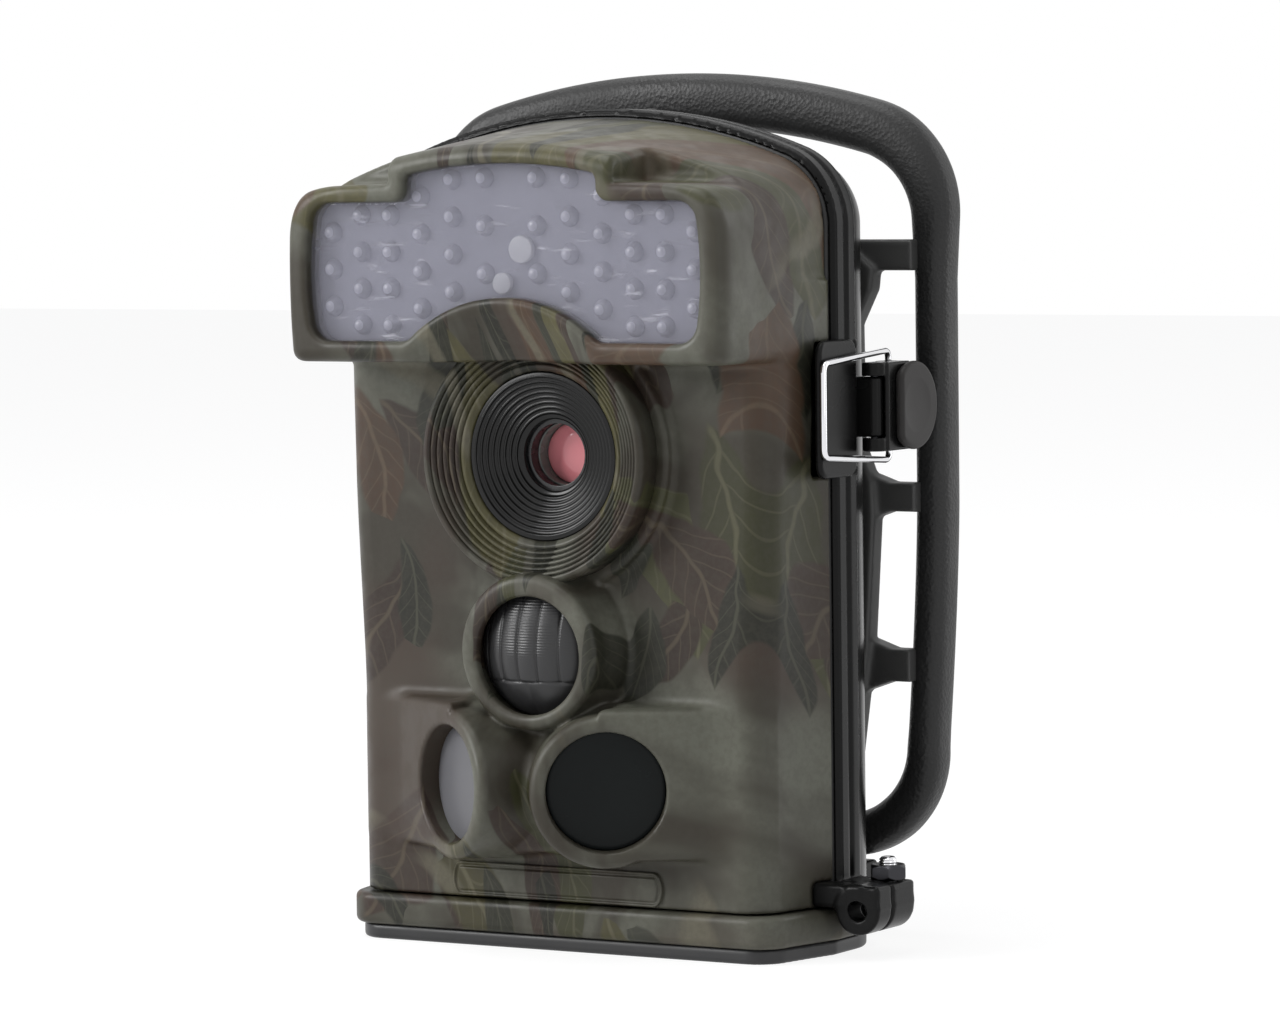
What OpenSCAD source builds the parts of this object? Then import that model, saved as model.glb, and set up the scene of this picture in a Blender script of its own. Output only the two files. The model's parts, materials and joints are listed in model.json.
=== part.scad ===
// Trail camera: a camouflaged front door on a black strap-mount housing.
// Millimetres. Origin at the mouth of the tripod socket under the foot.
// +X is the latch side, -Y is the front, +Z is up. The door and the
// housing part on the plane Y = 0.

/* [Housing] */
// Half width of the rim that the door closes on
rim_half = 44.8; // [44.6:0.1:45.2]
// Height of the rim's crown above the ground
rim_top = 141; // [140:0.5:142]
// Depth of the rim, from the parting plane to the back
rim_depth = 8; // [7.6:0.1:8]
// Depth of the housing, from the parting plane to its back wall
back_depth = 22.4; // [22.4:0.1:22.6]
// Wall thickness of the moulded shells
wall = 2.2; // [2:0.1:2.4]

/* [Door] */
// Half width of the flash hood
hood_half = 43; // [42.6:0.1:43.2]
// How far the flash hood stands in front of the parting plane
hood_reach = 33; // [32.8:0.1:34]
// Height of the hood's lower edge
hood_bottom = 99.3; // [99:0.1:100]
// Height of the hood's crown
hood_top = 135.4; // [135:0.1:135.8]
// Height of the hood's shoulders beside the raised middle
shoulder_z = 129; // [128.6:0.1:129.3]

/* [Optics] */
// Height of the lens axis
lens_z = 83.4; // [83:0.1:84]
// Outer radius of the grooved ring round the lens
dish_r = 21.4; // [21:0.1:21.8]
// Height of the front motion sensor's axis
pir_z = 51.1; // [50.8:0.1:51.4]
// Height of the two side motion sensors
side_z = 28.5; // [28:0.1:29]
// Angle that each side sensor turns outward
side_turn = 31; // [28:1:33]

/* [Strap bracket] */
// Half width of the hoop's centre line
hoop_half = 48.2; // [48:0.1:49]
// Height of the hoop's centre line at its crown
hoop_top = 142.4; // [142:0.1:143.5]
// Distance of the hoop behind the parting plane
hoop_y = 30; // [29.8:0.1:31]

/* [Tripod socket] */
// Wall radius of the tapped 1/4-20 hole
tripod_r = 2.55; // [2.5:0.01:2.6]
// Depth of the tapped hole
tripod_depth = 7; // [6:0.5:7]

/* [Hidden] */
$fn = 64;
gap = 0.3;                          // running clearance between moving shells
door_back = -0.2;                   // rear plane of the door
door_half = 43.8;                   // half width of the door where it meets the rim
body_half = 40.4;                   // half width of its front below the hood
body_front = -16.6;
rim_front = 0.4;                    // front plane of the rim
foot_top = 8;                       // top of the foot
shell_bottom = foot_top + gap;      // lower edge of door and housing
base_h = 2.6;                       // thickness of the pad under the foot
insert_r = 4.6;                     // outer radius of the tripod insert
hood_slope = 7;                     // pitch of the hood's top, in degrees
notch_back = -hood_reach + 13;      // back of the stepped shoulders

// Hinge of the door, on the side away from the latch
hinge_x = -47.1;
hinge_y = 4.5;
knuckle_r = 2;
hinge_pin_r = 0.8;
hinge_z = [28, 100];                // middle of each hinge
knuckle_h = 8;
// Hinge leaf: outer face, front edge, and where it is let into the door's wall
leaf_side = -46.6;
leaf_front = -2.6;
leaf_root = -42.6;

// Draw latch
latch_z = 91;
latch_half = 7.4;                   // half height of the lever
lever_x = 47.9;
lever_y = 8;
lever_pin_r = 0.7;
bail_x = 47;
bail_y = 14.6;
wire_r = 0.65;
bail_half = 8.35;                   // half height of the wire loop
catch_root = -4;                    // front of the catch plate's root in the door
bail_front_y = -7.9;
bail_front_x = 46.9;

// Lock lugs
lug_x = 50.6;
lug_z = 8.3;
lug_r = 4.2;
lug_top = 12.4;
lock_r = 1.7;
stud_x = 51.4;
stud_y = 4.6;

// Boards, panel and what stands on them
board_front = -6.2;
board_back = -4.6;
panel_front = -2.6;
panel_back = -1;
key_r = 3.4;
key_pitch = 10;
key_mid = [14, 67];
key_travel = 0.5;
switch_mid = [-26, 67];
lcd_half = [20.5, 15.5];
lcd_z = 103;
card_z = 36;
jack_x = 30;

// Window and its diodes
window_y = -hood_reach + 1.7;       // front of the flash window
window_t = 1.2;
led_back = -28.6;                   // face of the diode board
led_board_t = 1.4;
window_half = 37.8;
window_low = 102.8;
window_high = 125.9;
brow_r = 26.7;                      // arch over the lens
brow_open = 24.2;                   // brow's radius at the hood's face
brow_end = 14.7;                    // brow's radius where its slope ends
brow_depth = 6.5;                   // how far back the slope runs
mid_half = 18.6;                    // half width of the window's raised middle
pane_depth = 3.5;                   // how deep the side sensors' panes sit
led_columns = [                     // distance from the middle, lowest, count, pitch
    [5, 114, 3, 7.9], [11.3, 111, 4, 6.2], [17.5, 108.2, 4, 6.2],
    [23.5, 105.4, 4, 6.1], [29.3, 105.4, 4, 6.1], [35, 108.5, 3, 6.2]];

// Cells
cell_r = 7.1;
cell_len = 50.5;
cell_pitch = 14.9;
cell_y = 12.7;
bank_z = [13.5, 66.5];

// ---------- helpers ----------

// A shape drawn in X and Z, made solid from one Y to another
module along_y(y_low, y_high) {
    translate([0, y_high, 0])
        rotate([90, 0, 0])
            linear_extrude(y_high - y_low) children();
}

// A round bar along Y
module bar_y(x, z, r, y_low, y_high) {
    translate([x, y_high, z])
        rotate([90, 0, 0])
            cylinder(r = r, h = y_high - y_low);
}

// A round bar along Z
module bar_z(x, y, r, z_low, z_high) {
    translate([x, y, z_low]) cylinder(r = r, h = z_high - z_low);
}

// A turned piece about the Y axis: each point is radius, Y
module turned_y(points) {
    rotate([90, 0, 0])
        rotate_extrude($fn = 96)
            polygon([for (p = points) [p[0], -p[1]]]);
}

// Box between two corners
module block(low, high) {
    translate(low) cube(high - low);
}

module mirrored() {
    children();
    mirror([1, 0, 0]) children();
}

// Outline in X and Z: a crowned top, round upper corners and straight sides
module arch(half, top, bottom, corner = 14, crown = 100) {
    crown_z = top - crown;
    corner_x = half - corner;
    rise = sqrt(pow(crown - corner, 2) - pow(corner_x, 2));
    intersection() {
        translate([-half, bottom]) square([2 * half, top - bottom + 1]);
        union() {
            translate([-half, bottom - 1]) square([2 * half, max(2, crown_z + rise - bottom + 1)]);
            for (side = [-1, 1])
                translate([side * corner_x, crown_z + rise]) circle(corner);
            intersection() {
                translate([0, crown_z]) circle(crown);
                polygon([[0, crown_z], [1.5 * corner_x, crown_z + 1.5 * rise],
                         [-1.5 * corner_x, crown_z + 1.5 * rise]]);
            }
        }
    }
}

// Cross recess of a screw that runs along Y
module cross_slot(x, z, reach, y_low, y_high) {
    block([x - reach, y_low, z - 0.35], [x + reach, y_high, z + 0.35]);
    block([x - 0.35, y_low, z - reach], [x + 0.35, y_high, z + reach]);
}

// A shape drawn in Y and Z, made solid across X
module along_x(x_low, x_high) {
    translate([x_low, 0, 0])
        rotate([90, 0, 90])
            linear_extrude(x_high - x_low) children();
}

// Rounded rectangle in the plane of the children
module round_rect(half_x, low_y, high_y, r) {
    translate([-half_x + r, low_y]) square([2 * (half_x - r), high_y - low_y]);
    translate([-half_x, low_y + r]) square([2 * half_x, high_y - low_y - 2 * r]);
    for (x = [-half_x + r, half_x - r])
        for (y = [low_y + r, high_y - r])
            translate([x, y]) circle(r);
}

// ---------- rear housing ----------

// Tapered back of the housing, drawn in by a margin
module housing_taper(margin, front) {
    intersection() {
        bottom = foot_top + gap + margin;
        translate([0, 0, bottom])
            linear_extrude(200)
                polygon([[-43.5 + margin, front], [43.5 - margin, front], [42.6 - margin, 10],
                         [36.8 - margin, back_depth - 1.4 - margin], [34.8 - margin, back_depth - margin],
                         [-34.8 + margin, back_depth - margin],
                         [-36.8 + margin, back_depth - 1.4 - margin], [-42.6 + margin, 10]]);
        along_y(front, back_depth) arch(43.6 - margin, rim_top - 1.2 - margin, bottom, 13, 98);
        along_x(-60, 60)
            polygon([[front, 0], [front, 150], [rim_depth, rim_top - 1.2 - margin],
                     [back_depth - 3 - margin, 134 - margin], [back_depth - margin, 130 - margin],
                     [back_depth - margin, 0]]);
    }
}

module housing_outside() {
    difference() {
        along_y(rim_front, rim_depth) arch(rim_half, rim_top, shell_bottom);
        // the front edge is stepped where the seal shows
        along_y(rim_front - 1, rim_front + 0.5)
            difference() {
                square([400, 400], center = true);
                arch(rim_half - 0.8, rim_top - 0.8, shell_bottom - 1, 13.2, 99.2);
            }
    }
    housing_taper(0, rim_depth - 1);
}

module housing_inside() {
    housing_taper(wall, rim_front - 1);
}

module housing_knuckles() {
    for (z = hinge_z)
        for (side = [-1, 1])
            translate([0, 0, z + side * (knuckle_h + gap)]) {
                bar_z(hinge_x, hinge_y, knuckle_r, -knuckle_h / 2, knuckle_h / 2);
                block([hinge_x, hinge_y - knuckle_r, -knuckle_h / 2],
                      [-rim_half + 1, hinge_y + knuckle_r, knuckle_h / 2]);
            }
}

module latch_lug() {
    lug_half = 1.4;
    bar_z(lever_x, lever_y, lug_half, latch_z - 5, latch_z + 5);
    block([rim_half - 1, lever_y - lug_half, latch_z - 5],
          [lever_x, lever_y + lug_half, latch_z + 5]);
    // small gussets above and below the wire
    for (z = [latch_z + 9.8, latch_z - 11.2])
        translate([0, 0, z])
            linear_extrude(1.4)
                polygon([[40, 7], [45.2, 7], [40, 14]]);
}

module rear_lock_lug() {
    bar_y(lug_x, lug_z, lug_r, -door_back, rim_depth);
    block([lug_x, -door_back, lug_z], [lug_x + lug_r, rim_depth, lug_top]);
    block([rim_half - 2, rim_front, shell_bottom], [lug_x, rim_depth, lug_top]);
}

module rear_housing() {
    color("#17181a")
    difference() {
        union() {
            difference() {
                housing_outside();
                housing_inside();
            }
            housing_knuckles();
            latch_lug();
            rear_lock_lug();
            // boss behind the crown that stops the bracket's hoop from being pushed in
            bar_y(0, rim_top - 4, 3.4, rim_depth - 1, back_depth + 0.8);
            // feet under the hoop's bottom run
            mirrored() block([30, back_depth - wall, foot_top], [36, hoop_y, 12.2]);
        }
        for (z = hinge_z)
            bar_z(hinge_x, hinge_y, hinge_pin_r, z - 13, z + 13);
        bar_z(lever_x, lever_y, lever_pin_r, latch_z - 6, latch_z + 6);
        bar_y(lug_x, lug_z, lock_r, -1, rim_depth + 1);
        bar_z(stud_x, stud_y, 1.5, lug_z + 2.2, lug_top + 1);
        // groove for the seal
        along_y(rim_front - 1, rim_front + 1)
            difference() {
                arch(43.4, 139.6, shell_bottom + 0.9, 12.6, 98.6);
                arch(42.2, 138.4, shell_bottom + 1.9, 11.4, 97.4);
            }
        for (s = plate_screws)
            bar_y(s[0], s[1], 1.2, back_depth - wall - 1, back_depth + 1);
    }
}

module housing_gasket() {
    color("#0c0c0d")
    along_y(rim_front - 0.3, rim_front + 1)
        difference() {
            arch(43.4, 139.6, shell_bottom + 0.9, 12.6, 98.6);
            arch(42.2, 138.4, shell_bottom + 1.9, 11.4, 97.4);
        }
}

// ---------- foot ----------

// Plan of the foot: it flares from the front like the door, and rounds off at the back
module foot_plan(inset) {
    door_plan(45.3 - inset, 41.4 - inset, -17.8 + inset, 4.5);
    round_rect(45.3 - inset, -11, 20.5 - inset, 12);
}

screw_spots = [[-26, -6], [26, -6], [-26, 14], [26, 14]];

module foot_cap() {
    color("#5c5d49")
    difference() {
        translate([0, 0, base_h]) linear_extrude(foot_top - base_h) foot_plan(0);
        bar_z(0, 0, insert_r, 2, foot_top + 1);
        for (s = screw_spots)
            bar_z(s[0], s[1], 1.2, 2, foot_top - 1);
    }
}

module base_plate() {
    color("#1c1c1d")
    difference() {
        linear_extrude(base_h) foot_plan(1.1);
        bar_z(0, 0, insert_r + 0.05, -1, 4);
        for (s = screw_spots) {
            bar_z(s[0], s[1], 1.6, -1, 4);
            bar_z(s[0], s[1], 2.9, -1, 1.4);
        }
    }
}

module tripod_insert() {
    color("#b08d4a")
    difference() {
        bar_z(0, 0, insert_r, 0, foot_top);
        bar_z(0, 0, tripod_r, -1, tripod_depth);
    }
}

module base_screws() {
    color("#3a3b3d")
    for (s = screw_spots)
        difference() {
            union() {
                bar_z(s[0], s[1], 2.7, 0.2, 1.4);
                bar_z(s[0], s[1], 1.2, 1, 6);
            }
            translate([s[0] - 0.35, s[1] - 1.8, 0]) cube([0.7, 3.6, 0.8]);
            translate([s[0] - 1.8, s[1] - 0.35, 0]) cube([3.6, 0.7, 0.8]);
        }
}

// ---------- batteries ----------

cell_x = [for (i = [-1.5:1:1.5]) i * cell_pitch];

module battery_tray() {
    color("#26282b")
    difference() {
        union() {
            block([-31, 9.5, 11.5], [31, 20.1, 119]);
            block([-8, 6, 119], [8, 20.1, 125]);
        }
        for (x = cell_x)
            for (z = bank_z)
                bar_z(x, cell_y, cell_r + 0.2, z - 0.6, z + cell_len + 0.6);
    }
}

module batteries() {
    for (x = cell_x)
        for (z = bank_z) {
            color("#8f7a35") bar_z(x, cell_y, cell_r, z, z + cell_len - 1.4);
            color("#c7c7c2") bar_z(x, cell_y, 2.7, z + cell_len - 1.5, z + cell_len);
        }
}

module battery_springs() {
    color("#c9c9c4")
    for (x = cell_x)
        for (z = bank_z) {
            bar_z(x, cell_y, 3.4, z - 0.5, z - 0.1);
            bar_z(x, cell_y, 3.4, z + cell_len + 0.1, z + cell_len + 0.5);
        }
}

module contact_pins() {
    color("#c8a24a")
    for (x = [-4, 4]) {
        bar_y(x, 122, 1.6, 2, 6);
        bar_y(x, 122, 0.8, -0.7, 2);
    }
}

// ---------- pins, stud and nut of the housing ----------

module hinge_pins() {
    color("#b9bbbd")
    for (z = hinge_z)
        bar_z(hinge_x, hinge_y, hinge_pin_r, z - 12.8, z + 12.8);
}

module lever_pin() {
    color("#b9bbbd") bar_z(lever_x, lever_y, lever_pin_r, latch_z - 7.2, latch_z + 7.2);
}

module tether_stud() {
    color("#d9dadb") bar_z(stud_x, stud_y, 1.5, lug_z + 2.2, 16.4);
}

module tether_nut() {
    color("#232426")
    translate([stud_x, stud_y, lug_z + lug_r + 0.05])
        difference() {
            cylinder(r = 3.3, h = 2.6, $fn = 6);
            translate([0, 0, -1]) cylinder(r = 1.5, h = 5);
        }
}

// ---------- strap bracket ----------

corner_r = 16;                      // hoop's upper corners
crown_r = 138;                      // hoop's crown
foot_r = 15.5;                      // hoop's lower corners
lower_half = 46;                    // half width where the lower corners start
lower_z = 31.8;
waist_z = 75;                       // below this the sides draw in
corner_z = hoop_top - crown_r + sqrt(pow(crown_r - corner_r, 2) - pow(hoop_half - corner_r, 2));
crown_a = atan2(corner_z - hoop_top + crown_r, hoop_half - corner_r);

// Right half of the hoop's centre line, from the crown to the bottom
hoop_right = concat(
    [for (i = [0:3]) let (a = 90 - (90 - crown_a) * i / 4)
        [crown_r * cos(a), hoop_top - crown_r + crown_r * sin(a)]],
    [for (i = [0:6]) let (a = crown_a * (1 - i / 6))
        [hoop_half - corner_r + corner_r * cos(a), corner_z + corner_r * sin(a)]],
    [for (i = [1:5]) let (z = corner_z + (lower_z - corner_z) * i / 6)
        [hoop_half - (hoop_half - lower_half) * pow(max(0, (waist_z - z) / (waist_z - lower_z)), 1.5), z]],
    [for (i = [0:6]) let (a = -90 * i / 6)
        [lower_half - foot_r + foot_r * cos(a), lower_z + foot_r * sin(a)]]);
hoop_line = concat(hoop_right,
    [for (i = [len(hoop_right) - 1:-1:1]) [-hoop_right[i][0], hoop_right[i][1]]]);

// Half thickness of the hoop in its own plane, thicker over the crown and at the lower corners
function hoop_half_t(z) = 3.1 + 1.65 * max(0, min(1, (z - 112) / 24)) + 0.7 * max(0, min(1, (34 - z) / 14));

module bracket_hoop() {
    sides = 12;
    count = len(hoop_line);
    rings = [for (i = [0:count - 1]) let (
            before = hoop_line[(i + count - 1) % count],
            after = hoop_line[(i + 1) % count],
            along = after - before,
            out = [along[1], -along[0]] / norm(along),
            here = hoop_line[i])
        for (k = [0:sides - 1]) let (
            a = 360 * k / sides,
            t = hoop_half_t(here[1]) * cos(a))
            [here[0] + out[0] * -t, hoop_y + 4 * sin(a), here[1] + out[1] * -t]];
    faces = [for (i = [0:count - 1]) for (k = [0:sides - 1]) let (
            j = (i + 1) % count,
            m = (k + 1) % sides)
        [i * sides + k, i * sides + m, j * sides + m, j * sides + k]];
    color("#2b2b2c") polyhedron(rings, faces, convexity = 8);
}

// Rungs that join the plate to the hoop: low Z, high Z, reach in X
rungs = [[113.2, 118.4, 45.4], [72.4, 77.3, 45.4], [43.5, 49, 44.2]];
plate_screws = [[-24, 30], [24, 30], [-24, 106], [24, 106]];
plate_front = back_depth + 0.2;
plate_back = 26.6;

module bracket_plate() {
    color("#4a4a48")
    difference() {
        union() {
            along_y(plate_front, plate_back)
                mirrored()
                    polygon([[0, 118.4], [34, 118.4], [39.8, 113.6], [39.4, 110], [36.4, 104],
                             [36.6, 84], [39.3, 77.3], [39.6, 71.7], [38.2, 49], [37.2, 42],
                             [35.2, 27], [32.4, 21], [28, 17.6], [0, 17.6]]);
            for (r = rungs)
                along_y(plate_front + 1, plate_back + 1.6)
                    mirrored() translate([34, r[0]]) square([r[2] - 34, r[1] - r[0]]);
            // bosses that stand on the housing
            for (s = plate_screws)
                bar_y(s[0], s[1], 4, back_depth, plate_back + 1);
        }
        for (s = plate_screws) {
            bar_y(s[0], s[1], 1.5, back_depth - 1, plate_back + 2);
            bar_y(s[0], s[1], 2.9, plate_back - 0.4, plate_back + 2);
        }
    }
}

module bracket_screws() {
    color("#6d6e70")
    for (s = plate_screws)
        difference() {
            union() {
                bar_y(s[0], s[1], 2.7, plate_back - 0.4, plate_back + 0.8);
                bar_y(s[0], s[1], 1.2, back_depth - wall, plate_back);
            }
            cross_slot(s[0], s[1], 1.7, plate_back + 0.2, plate_back + 1);
        }
}

// ---------- door shell ----------

// Plan of the door: its sides draw in towards a rounded front
module door_plan(half_back, half_front, front, r) {
    polygon([[-half_back, door_back + 1], [half_back, door_back + 1], [half_back, door_back],
             [half_front, front + r], [half_front - r, front + r / 2], [r - half_front, front + r / 2],
             [-half_front, front + r], [-half_back, door_back]]);
    for (side = [-1, 1])
        translate([side * (half_front - r), front + r]) circle(r);
    translate([r - half_front, front]) square([2 * (half_front - r), r]);
}

module door_body() {
    intersection() {
        translate([0, 0, shell_bottom])
            linear_extrude(hood_bottom - shell_bottom + 1)
                door_plan(door_half, body_half, body_front, 5);
        along_y(-50, door_back) square([200, 400], center = true);
    }
}

// An outline carried back along the slope of the hood's top
module tilted_roof() {
    translate([0, -hood_reach, hood_top])
        rotate([hood_slope, 0, 0])
            translate([0, hood_reach, -hood_top])
                along_y(-hood_reach - 30, 30) children();
}

module door_hood() {
    difference() {
        intersection() {
            translate([0, 0, hood_bottom])
                linear_extrude(60) door_plan(door_half, hood_half, -hood_reach, 5);
            // the crown slopes up towards the rim
            tilted_roof() arch(door_half, hood_top, 60, 12.5, 98);
            along_y(-50, door_back) arch(door_half, rim_top - 1.6, 60, 13, 98);
        }
        // stepped shoulders beside the raised middle
        mirrored()
            block([21, -hood_reach - 1, shoulder_z], [50, notch_back, hood_top + 8]);
    }
}

module side_pod(side) {
    translate([side * 15.6, -26.6, side_z])
        rotate([0, 0, side * side_turn])
            children();
}

module door_outside() {
    door_body();
    door_hood();
    bar_y(0, pir_z, 14, -25.2, -12);
    bar_y(0, lens_z, 23.5, -18.4, -12);
    for (side = [-1, 1])
        side_pod(side) bar_y(0, 0, 12.6, 0, 14);
    block([-27, -22, 17.5], [27, -14, 41.5]);
}

module door_inside() {
    intersection() {
        union() {
            translate([0, 0, shell_bottom + wall])
                linear_extrude(200) door_plan(door_half - wall, body_half - wall, body_front + wall, 3);
            translate([0, 0, hood_bottom + wall])
                linear_extrude(200) door_plan(door_half - wall, hood_half - wall, -28, 3);
        }
        tilted_roof() arch(door_half - wall, hood_top - wall, -30, 11, 97);
        along_y(-50, 10) arch(door_half - wall, rim_top - 1.6 - wall, shell_bottom, 11, 97);
        // stay under the stepped shoulders
        difference() {
            along_y(-50, 10) square([200, 400], center = true);
            mirrored()
                block([21 - wall, -hood_reach - 1, shoulder_z - wall],
                      [60, notch_back + wall, hood_top + 20]);
        }
    }
}

// Outline of the flash window, arched over the lens
module window_outline(grow) {
    difference() {
        union() {
            round_rect(window_half + grow, window_low - grow, window_high + grow, 3);
            intersection() {
                translate([0, hood_top - 3.2 - 98]) circle(98 + grow);
                translate([-mid_half - grow, 110]) square([2 * (mid_half + grow), 24]);
            }
        }
        translate([0, lens_z]) circle(brow_r - grow);
    }
}

// Screw posts inside the door
module door_posts() {
    for (s = board_spots)
        bar_y(s[0], s[1], 2.6, -15, board_front);
    for (i = [0:3])
        intersection() {
            bar_y(panel_spots[i][0], panel_spots[i][1], 2.6, -12, panel_front);
            door_body();
        }
    for (x = [-24, 24])
        block([x - 2.2, -8, 126], [x + 2.2, panel_front, 133]);
}

module front_shell() {
    color("#62624c")
    difference() {
        union() {
            difference() {
                door_outside();
                door_inside();
            }
            door_posts();
        }
        for (s = concat(panel_spots, board_spots))
            bar_y(s[0], s[1], 1.2, -10, 1);
        along_y(-hood_reach - 1, led_back) window_outline(0);
        along_y(window_y, led_back + led_board_t + 0.1) window_outline(0.5);
        // brow over the lens: a slope from the hood's face back to the lens ring
        bar_y(0, lens_z, brow_open, -hood_reach - 1, -hood_reach);
        translate([0, -hood_reach, lens_z])
            rotate([-90, 0, 0])
                cylinder(r1 = brow_open, r2 = brow_end, h = brow_depth);
        bar_y(0, lens_z, 22.2, -hood_reach + brow_depth, -17.4);
        bar_y(0, lens_z, 14.2, -26, -14.9);
        bar_y(0, lens_z, 9, -26, -10);
        bar_y(0, pir_z, 11.3, -30, -10);
        for (side = [-1, 1])
            side_pod(side) {
                bar_y(0, 0, 10.3, -2, pane_depth + 0.8);
                bar_y(0, 0, 9.4, 1, 14);
                bar_y(0, 0, 6.8, 13, 17.4);
            }
        // seats for the catch plate, the lock lug and the hinge leaves
        block([40.4, catch_root, latch_z - 11], [50, 1, latch_z + 11]);
        block([42, -5.1, 8], [50, 1, lug_top]);
        for (z = hinge_z)
            block([leaf_side - 3, leaf_front - 0.1, z - knuckle_h / 2], [leaf_root, 1, z + knuckle_h / 2]);
    }
}

module name_plate() {
    color("#6a6a52")
    difference() {
        along_y(-17.4, -15)
            translate([0, shell_bottom + 0.3]) round_rect(20.6, 0, 5.8, 2.4);
        door_body();
    }
}

// ---------- optics ----------

// Grooved dish: each groove is a short step down the cone
groove_count = 6;
dish_steps = [for (i = [0:groove_count - 1]) let (
        f = i / groove_count,
        g = (i + 1) / groove_count,
        r_out = 20.4 - 6.2 * f,
        r_in = 20.4 - 6.2 * g,
        y_out = -23.7 + 3.9 * f,
        y_in = -23.7 + 3.9 * g)
    each [[r_out, y_out + 0.25], [r_in + 0.25, y_out + 0.45], [r_in + 0.25, y_in]]];

module lens_ring() {
    color("#62624c")
    translate([0, 0, lens_z])
        turned_y(concat([[14.2, -18.4], [dish_r, -18.4], [dish_r, -23.4], [dish_r - 0.4, -23.7]],
                        [[20.4, -23.7]], dish_steps, [[14.2, -19.8]]));
}

bezel_rings = 7;
bezel_steps = [for (i = [0:bezel_rings - 1]) let (
        f = i / bezel_rings,
        g = (i + 1) / bezel_rings)
    each [[13.4 - 7.2 * f, -19.6 + 3.9 * f + 0.3], [13.4 - 7.2 * g, -19.6 + 3.9 * f + 0.35]]];

module lens_bezel() {
    color("#0e0e10")
    translate([0, 0, lens_z])
        turned_y(concat([[6.2, -14.9], [14.1, -14.9], [14.1, -19.8], [13.4, -19.9]], bezel_steps,
                        [[6.2, -15.6]]));
}

module lens_barrel() {
    color("#151517")
    translate([0, 0, lens_z])
        turned_y([[5.2, -14.8], [8.4, -14.8], [8.4, board_front],
                  [4, board_front], [4, -8.9], [5.2, -8.9]]);
}

module lens_glass() {
    color("#c45f66")
    translate([0, 0, lens_z])
        turned_y([[0, -10.3], [3, -10.1], [5.1, -9.5], [5.1, -9], [0, -9]]);
}

module image_sensor() {
    color("#2c3b33")
    block([-2.9, -7.4, lens_z - 2.2], [2.9, board_front, lens_z + 2.2]);
}

module led_window() {
    color("#9a9aa8", 0.6)
    along_y(window_y, window_y + window_t) window_outline(0.4);
}

module led_board() {
    color("#8d8d9a")
    along_y(led_back, led_back + led_board_t) window_outline(0.4);
}

// Section of one diode: a low dome
dome_r = 1.5;
dome_h = 1.3;
dome = concat([[0, 0]],
              [for (a = [0:18:72]) [dome_r * cos(a), -dome_h * sin(a)]],
              [[0, -dome_h]]);

module ir_leds() {
    color("#c9c9d2")
    mirrored()
        for (c = led_columns)
            for (i = [0:c[2] - 1])
                translate([c[0], led_back, c[1] + i * c[3]])
                    turned_y(dome);
}

module light_sensor() {
    color("#dfe0e6") bar_y(2.3, 118, 2.3, led_back - 1.2, led_back);
}

module status_light() {
    color("#e6e6ee") bar_y(-1.4, 112.4, 1.8, led_back - 1.2, led_back);
}

// ---------- motion sensors ----------

pir_y = -10.6;                      // centre of the lens's sphere

module pir_lens() {
    color("#1d1d20")
    translate([0, 0, pir_z])
        difference() {
            intersection() {
                translate([0, pir_y, 0]) sphere(r = 15.6, $fn = 48);
                bar_y(0, 0, 10.8, pir_y - 17, pir_y - 8);
            }
            translate([0, pir_y, 0]) sphere(r = 14.6, $fn = 48);
        }
}

module pir_sensor() {
    color("#b4b6b8")
    difference() {
        bar_y(0, pir_z, 4.6, -10.4, board_front);
        block([-2, -11, pir_z - 1.5], [2, -10.2, pir_z + 1.5]);
    }
}

module side_window(side) {
    side_pod(side) bar_y(0, 0, 10.2, pane_depth, pane_depth + 0.8);
}

module side_window_left() {
    color("#3a3c40") side_window(-1);
}

module side_window_right() {
    color("#0d1517") side_window(1);
}

module side_sensors() {
    color("#b4b6b8")
    for (side = [-1, 1])
        side_pod(side) bar_y(0, 0, 4.6, 8.5, 12.5);
}

module sensor_wedges() {
    color("#e4e2da")
    difference() {
        for (side = [-1, 1])
            side_pod(side) block([-4.6, 12.5, -4.6], [4.6, 26, 4.6]);
        block([-40, board_front, 0], [40, 10, 60]);
        block([-3, -30, 0], [3, 10, 60]);
    }
}

// ---------- boards and the inner panel ----------

module main_board() {
    color("#2f5b3c")
    difference() {
        block([-33, board_front, 14], [33, board_back, 124]);
        for (s = board_spots)
            bar_y(s[0], s[1], 1.2, board_front - 1, board_back + 1);
    }
}

key_spots = [
    [key_mid[0], key_mid[1] + key_pitch], [key_mid[0], key_mid[1] - key_pitch],
    [key_mid[0] - key_pitch, key_mid[1]], [key_mid[0] + key_pitch, key_mid[1]],
    key_mid, [-8, 67]];
panel_spots = [[-36, 14], [36, 14], [-36, 84], [36, 84], [-24, 128], [24, 128]];
board_spots = [[-30, 17], [30, 17], [-30, 92], [30, 92]];

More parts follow.
